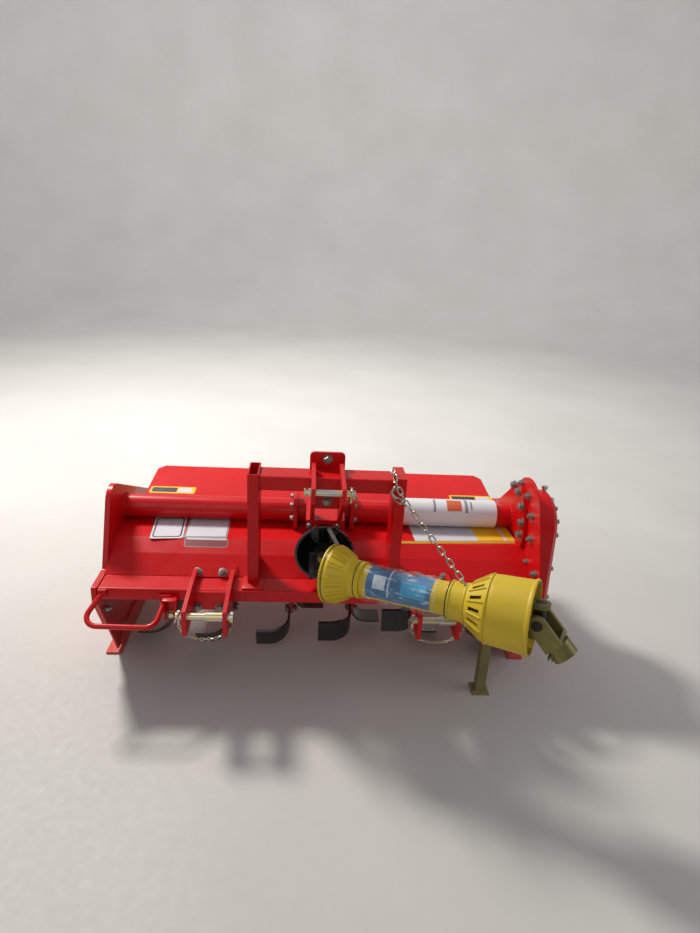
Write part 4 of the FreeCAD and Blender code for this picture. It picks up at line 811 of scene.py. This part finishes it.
# %% [markdown]
# ## The drive shaft's guard
#
# The guard's plastic parts meet at narrow dark seams: one behind the inner cone's mouth, one at its neck
# and one before the collar. Low yellow rims stiffen the mouths and the collar. Each is a ring, made by
# spinning a small rounded rectangle round the shaft's own line. A row gives its distance along the shaft,
# its radius, its width and how far it stands out. The square hole that holds the chain is a dark field of
# painted shade, laid on the collar in place of the shadow inside the hole.

# %% Seams and rims of the guard
def add_ring(bm, along, radius, wide, proud):
    """Ring of rectangular section round the drive shaft, so far from the inner joint."""
    middle = shaft_start + shaft_way * along
    start = Matrix.Translation(middle + shaft_side * radius) @ axes(shaft_side, shaft_way, shaft_up)
    made = bmesh.ops.create_grid(bm, x_segments=1, y_segments=1, size=0.5,
                                 matrix=start @ Matrix.Diagonal((proud * 2, wide, 1, 1)))
    cut = bmesh.ops.bevel(bm, geom=made["verts"], offset=min(wide, proud * 2) / 4, segments=2, profile=0.5,
                          affect="VERTICES", material=-1)
    faces = list({face for vert in cut["verts"] for face in vert.link_faces})
    edges = list({edge for face in faces for edge in face.edges})
    bmesh.ops.delete(bm, geom=faces, context="FACES_ONLY")
    sweep(bm, edges, middle, shaft_way, tau, 64, merge=True)


SEAMS = ((0.0300, 0.0842, 0.0022, 0.0008), (0.1140, 0.0532, 0.0026, 0.0008), (0.3788, 0.0522, 0.0030, 0.0012))
RIMS = ((0.0240, 0.0846, 0.0060, 0.0022), (0.3840, 0.0524, 0.0050, 0.0018), (0.4240, 0.0524, 0.0060, 0.0018),
        (0.4870, 0.0918, 0.0040, 0.0016), (0.5960, 0.0982, 0.0060, 0.0020))
dark_seams_and_hole_shade, rims = bmesh.new(), bmesh.new()
for row in SEAMS:
    add_ring(dark_seams_and_hole_shade, *row)
for row in RIMS:
    add_ring(rims, *row)
# Painted shade: a black plate where the shaded inside of the square chain hole would show.
add_box(dark_seams_and_hole_shade, collar_hole + shaft_up * 0.0519, (0.011, 0.010, 0.002), axes(shaft_way, shaft_side, shaft_up))
piece("guard_dark_seams_and_hole_shade", dark_seams_and_hole_shade, [shield_black])
piece("guard_rims", rims, [guard_yellow])

# %% [markdown]
# Both cones carry raised ribs along their flanks. A rib is a cube stretched along the flank, turned so that
# it stands square on it, and repeated round the shaft: sixteen on the inner cone, fourteen between the
# cup's slots.

# %% Ribs of the cones
def add_ribs(bm, first, last, count, turn, wide, tall):
    """Ribs from one (distance, radius) to another, spaced evenly round the shaft."""
    for k in range(count):
        angle = tau * (k + turn) / count
        out = shaft_side * cos(angle) + shaft_up * sin(angle)
        low, high = [shaft_start + shaft_way * along + out * radius for along, radius in (first, last)]
        way = (high - low).normalized()
        flat = shaft_way.cross(out).normalized()
        add_box(bm, (low + high) / 2, ((high - low).length, wide, tall), axes(way, flat, way.cross(flat)))


ribs = bmesh.new()
add_ribs(ribs, (0.041, 0.0845), (0.086, 0.0610), 16, 0.0, 0.0032, 0.0062)
add_ribs(ribs, (0.436, 0.0590), (0.482, 0.0885), 14, 0.5, 0.0030, 0.0060)
bmesh.ops.bevel(ribs, geom=ribs.edges[:], offset=0.0006, segments=1, profile=0.5, affect="EDGES", material=-1)
piece("guard_ribs", ribs, [guard_yellow])

# %% [markdown]
# The free yoke locks on the tractor's shaft by a push pin, a short bright plunger in a round boss on the
# hub's side. Both are cylinders along one line, and they swing with the yoke.

# %% Push pin
hub_low, hub_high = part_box("tractor_hub")
hub = (Vector(hub_low) + Vector(hub_high)) / 2
hub_way = (hub - spot(534, -459, 515)).normalized()
pin_way = Vector((-0.804, -0.375, -0.461))
pin_way = (pin_way - hub_way * pin_way.dot(hub_way)).normalized()
plunger = bmesh.new()
for foot, tall, radius, index in ((0.030, 0.0085, 0.0095, 0), (0.034, 0.0105, 0.0058, 1)):
    made = add_round(plunger, stand_at(hub, pin_way), foot, tall, radius, radius * 0.94)
    for face in {item for vert in made for item in vert.link_faces}:
        face.material_index = index
piece("yoke_push_pin", plunger, [olive_steel, zinc], body="tractor_yoke")

# %% [markdown]
# A clear plastic bag with the shaft's papers is wrapped round the guard tube. It is a thin film, open at
# both ends, a little wider than the tube, and it sags below and creases along its length. A cone operator
# gives the sleeve, and its points are then pushed out by a few slow waves, most of all at the bottom, where
# the film hangs free. Real film is clear except where a crease catches the light, so the alpha follows
# streaks along the shaft: the paler, more opaque film there is a painted highlight of the creases.

# %% Bag film
BAG_FROM, BAG_TO = 0.140, 0.352
BAG_LONG = BAG_TO - BAG_FROM
film_bag = bmesh.new()
middle = shaft_start + shaft_way * ((BAG_FROM + BAG_TO) / 2)
bmesh.ops.create_cone(film_bag, cap_ends=False, segments=72, radius1=0.0478, radius2=0.0478, depth=BAG_LONG,
                      matrix=Matrix.Translation(middle) @ axes(shaft_side, shaft_up, shaft_way))
long_edges = [edge for edge in film_bag.edges
              if abs((edge.verts[0].co - edge.verts[1].co).dot(shaft_way)) > 0.1]
bmesh.ops.subdivide_edges(film_bag, edges=long_edges, cuts=30, use_grid_fill=True)
for vert in film_bag.verts:
    along = (vert.co - shaft_start).dot(shaft_way)
    out = vert.co - shaft_start - shaft_way * along
    angle = atan2(out.dot(shaft_side), out.z)
    below = max(0.0, -cos(angle)) ** 2
    wave = 0.0010 * sin(7 * angle + 40 * along) + 0.0008 * sin(11 * angle - 95 * along + 1.0)
    wave += 0.0022 * (0.6 - abs(sin(2.5 * angle + 62 * along)))
    wave += 0.0006 * sin(170 * along + 3 * angle)
    flare = 0.0035 * exp(-min(along - BAG_FROM, BAG_TO - along) / 0.012)
    vert.co += out.normalized() * (0.0034 + wave + flare + 0.0045 * below)
bag_round = sum(face.calc_area() for face in film_bag.faces) / BAG_LONG
print("bag film: %.3f x %.3f m" % (BAG_LONG, bag_round))

# %% Finish of the bag
clear, tree, shader, place = new_material("clear_film")
put(shader, IOR=1.45)
tint = span(tree, noise(tree, place, 30.0), 0.35, 0.65)
tree.links.new(blend_colours(tree, tint, (0.78, 0.86, 0.92), (0.60, 0.72, 0.82)), shader.inputs["Base Color"])
tree.links.new(span(tree, noise(tree, place, 60.0), 0.3, 0.7, 0.04, 0.16), shader.inputs["Roughness"])
along_shaft = node(tree, "Mapping", vector_type="TEXTURE")
put(along_shaft, Rotation=(0, 0, atan2(shaft_way.y, shaft_way.x)), Scale=(4.5, 1, 1))
tree.links.new(place, along_shaft.inputs["Vector"])
# Painted highlight: streaks along the shaft where the film is paler and more opaque, standing for creases
# that catch the light.
highlight_streaks = noise(tree, along_shaft.outputs["Vector"], 120.0, 3.0)
tree.links.new(span(tree, highlight_streaks, 0.56, 0.68, 0.06, 0.55), shader.inputs["Alpha"])
bump = node(tree, "Bump")
put(bump, Strength=0.8, Distance=0.0016)
tree.links.new(noise(tree, along_shaft.outputs["Vector"], 90.0, 3.0), bump.inputs["Height"])
tree.links.new(bump.outputs["Normal"], shader.inputs["Normal"])
bag = piece("shaft_bag", film_bag, [clear], smooth=80)

# %% [markdown]
# The papers inside the bag show as a blue sheet on its upper front, with a pale field and line, a lighter
# blue field and a wine red one behind. Each is an edge along the tube, spun through an angle.

# %% Papers in the bag
def add_wrap(bm, first, last, radius, start, stop, index, steps=14, origin=shaft_start, way=shaft_way):
    """Sheet round an axis, between two distances along it and two angles from the top towards the front."""
    top_way = (UP - way * way.z).normalized()
    angle = radians(start)
    out = top_way * cos(angle) + way.cross(top_way) * sin(angle)
    ends = [bm.verts.new(origin + way * along + out * radius) for along in (first, last)]
    done = len(bm.faces)
    sweep(bm, [bm.edges.new(ends)], origin, way, radians(stop - start), steps)
    bm.faces.ensure_lookup_table()
    for face in bm.faces[done:]:
        face.material_index = index


paper_blue = finish("blue_paper", (0.018, 0.115, 0.27), (0.03, 0.16, 0.34), rough=0.4, drift=25.0)
paper_light = finish("light_blue_paper", (0.03, 0.36, 0.62), (0.03, 0.30, 0.55), rough=0.4, drift=25.0)
paper_pale = finish("pale_paper", (0.62, 0.66, 0.72), (0.52, 0.57, 0.63), rough=0.5, drift=60.0)
paper_wine = finish("wine_paper", (0.20, 0.012, 0.03), (0.16, 0.01, 0.025), rough=0.45, drift=30.0)
papers = bmesh.new()
add_wrap(papers, 0.150, 0.336, 0.0466, -18, 118, 0, steps=20)
add_wrap(papers, 0.170, 0.206, 0.0469, 30, 78, 1)
add_wrap(papers, 0.252, 0.322, 0.0469, 32, 84, 2)
add_wrap(papers, 0.214, 0.218, 0.0470, -18, 100, 1)
add_wrap(papers, 0.176, 0.290, 0.0469, -22, 2, 3)
bmesh.ops.solidify(papers, geom=papers.faces[:], thickness=0.0002)
piece("bag_papers", papers, [paper_blue, paper_pale, paper_light, paper_wine])

# %% [markdown]
# The paper roll on the right tube carries an orange field and three grey bars, and its left edge is a
# little pink. They follow its round face as the papers do.

# %% Print on the paper roll
roll_low, roll_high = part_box("document_sleeve")
roll_end = Vector((roll_low[0], (roll_low[1] + roll_high[1]) / 2, (roll_low[2] + roll_high[2]) / 2))
roll_radius = (roll_high[1] - roll_low[1]) / 2
paper_orange = finish("orange_print", (0.72, 0.13, 0.035), (0.60, 0.10, 0.03), rough=0.4, drift=60.0)
paper_grey = finish("grey_print", (0.22, 0.22, 0.24), (0.30, 0.30, 0.32), rough=0.4, drift=60.0)
paper_pink = finish("pink_edge", (0.70, 0.30, 0.32), (0.62, 0.25, 0.28), rough=0.45, drift=40.0)
PRINT = ((0.172, 0.224, 2, 58, 0), (0.236, 0.246, -4, 64, 1), (0.256, 0.262, 10, 50, 1),
         (0.124, 0.132, -4, 62, 1), (0.0002, 0.006, -60, 120, 2))
printed = bmesh.new()
for first, last, start, stop, index in PRINT:
    add_wrap(printed, first, last, roll_radius + FILM, start, stop, index, 12, roll_end, Vector(RIGHT))
bmesh.ops.solidify(printed, geom=printed.faces[:], thickness=0.0002)
piece("roll_print", printed, [paper_orange, paper_grey, paper_pink])

# %% [markdown]
# ## Camera, floor and light
#
# The camera was solved from straight edges of the machine in the photograph: 620 pixels of focal length
# across 700, held 1.4 m above the ground, looking down by 21 degrees and turned a little. The look function
# gives the way to any point of the picture, and the camera's own axes follow from three such ways.

# %% Camera
FOCAL_LENGTH, PICTURE_WIDTH = 620, 700
PITCH, ROLL, YAW = 0.3707881, 0.0600957, 0.0728553
camera_data = bpy.data.cameras.new("camera")
camera_data.sensor_fit = "HORIZONTAL"
camera_data.sensor_width = 36
camera_data.lens = FOCAL_LENGTH / PICTURE_WIDTH * 36
camera = bpy.data.objects.new("camera", camera_data)
scene.collection.objects.link(camera)


def look(u, v):
    """Direction of a point of the picture, right and down of its middle, in focal lengths."""
    across = cos(ROLL) * u + sin(ROLL) * v
    down = -sin(ROLL) * u + cos(ROLL) * v
    ahead = cos(PITCH) - down * sin(PITCH)
    rise = -sin(PITCH) - down * cos(PITCH)
    return Vector((cos(YAW) * across + sin(YAW) * ahead,
                   -sin(YAW) * across + cos(YAW) * ahead, rise))


forward = look(0, 0)
turn = Matrix((look(1, 0) - forward, forward - look(0, 1), -forward)).transposed()
camera.matrix_world = Matrix.Translation(spot(-60.0, -1743.6, 1411.8)) @ turn.to_4x4()
scene.camera = camera
scene.view_settings.view_transform = "Standard"
print("camera at", tuple(round(value, 3) for value in camera.matrix_world.translation))

# %% [markdown]
# The floor is a wide round dish: flat under the machine, then bent upwards to a slope, so that no horizon
# shows from any side. One outline from the middle to the rim is spun all the way round.

# %% Floor
FLAT, BEND, RISE = 7.0, 3.0, 6.0
dish = bmesh.new()
outline = [dish.verts.new((0, 0, 0)), dish.verts.new((FLAT, 0, 0))]
dish.edges.new(outline)
bent = sweep(dish, [outline[1]], (FLAT, 0, BEND), (0, -1, 0), radians(85), 16)
top = bmesh.ops.extrude_vert_indiv(dish, verts=verts_of(bent))["verts"]
bmesh.ops.translate(dish, verts=top, vec=(0.5, 0, RISE))
sweep(dish, dish.edges[:], (0, 0, 0), UP, tau, 72, merge=True)
bmesh.ops.remove_doubles(dish, verts=dish.verts, dist=0.001)
bmesh.ops.recalc_face_normals(dish, faces=dish.faces)
for face in dish.faces:
    face.smooth = True
floor = new_object("floor", dish)
floor_finish, tree, shader, place = new_material("pale_floor")
mask = span(tree, noise(tree, place, 1.3, 6.0), 0.3, 0.7)
tone = blend_colours(tree, mask, (0.50, 0.485, 0.46), (0.55, 0.535, 0.51))
tree.links.new(tone, shader.inputs["Base Color"])
tree.links.new(span(tree, noise(tree, place, 40.0), 0.3, 0.7, 0.6, 0.8), shader.inputs["Roughness"])
floor.data.materials.append(floor_finish)
print("floor is flat for %.1f m all round" % FLAT)

# %% [markdown]
# Three soft round lights stand about the machine, the strongest behind it on the left, so that tops are
# bright and fronts darker. A fourth brightens the dish behind it.

# %% Lights
world = bpy.data.worlds.new("studio")
scene.world = world
world.use_nodes = True
put(world.node_tree.nodes["Background"], Color=(0.90, 0.94, 1.0, 1), Strength=0.36)
LIGHTS = (
    ("key", (-2.4, 2.2, 4.0), (0, 0, 0.3), 0.9, 250, (1.0, 0.965, 0.91)),
    ("fill", (-1.2, -3.6, 2.6), (0, 0, 0.3), 3.0, 26, (0.95, 0.97, 1.0)),
    ("side", (3.4, -0.8, 2.2), (0, 0, 0.3), 2.4, 20, (1.0, 0.98, 0.95)),
    ("backdrop", (0.0, 2.0, 5.6), (0, 9.0, 2.8), 3.0, 420, (1.0, 1.0, 1.0)),
)
for name, where, target, size, power, colour in LIGHTS:
    data = bpy.data.lights.new(name, "AREA")
    data.shape = "DISK"
    data.size = size
    data.energy = power
    data.color = colour
    light = bpy.data.objects.new(name, data)
    light.location = where
    light.rotation_euler = (Vector(target) - Vector(where)).to_track_quat("-Z", "Y").to_euler()
    scene.collection.objects.link(light)
print("lights:", [row[0] for row in LIGHTS])
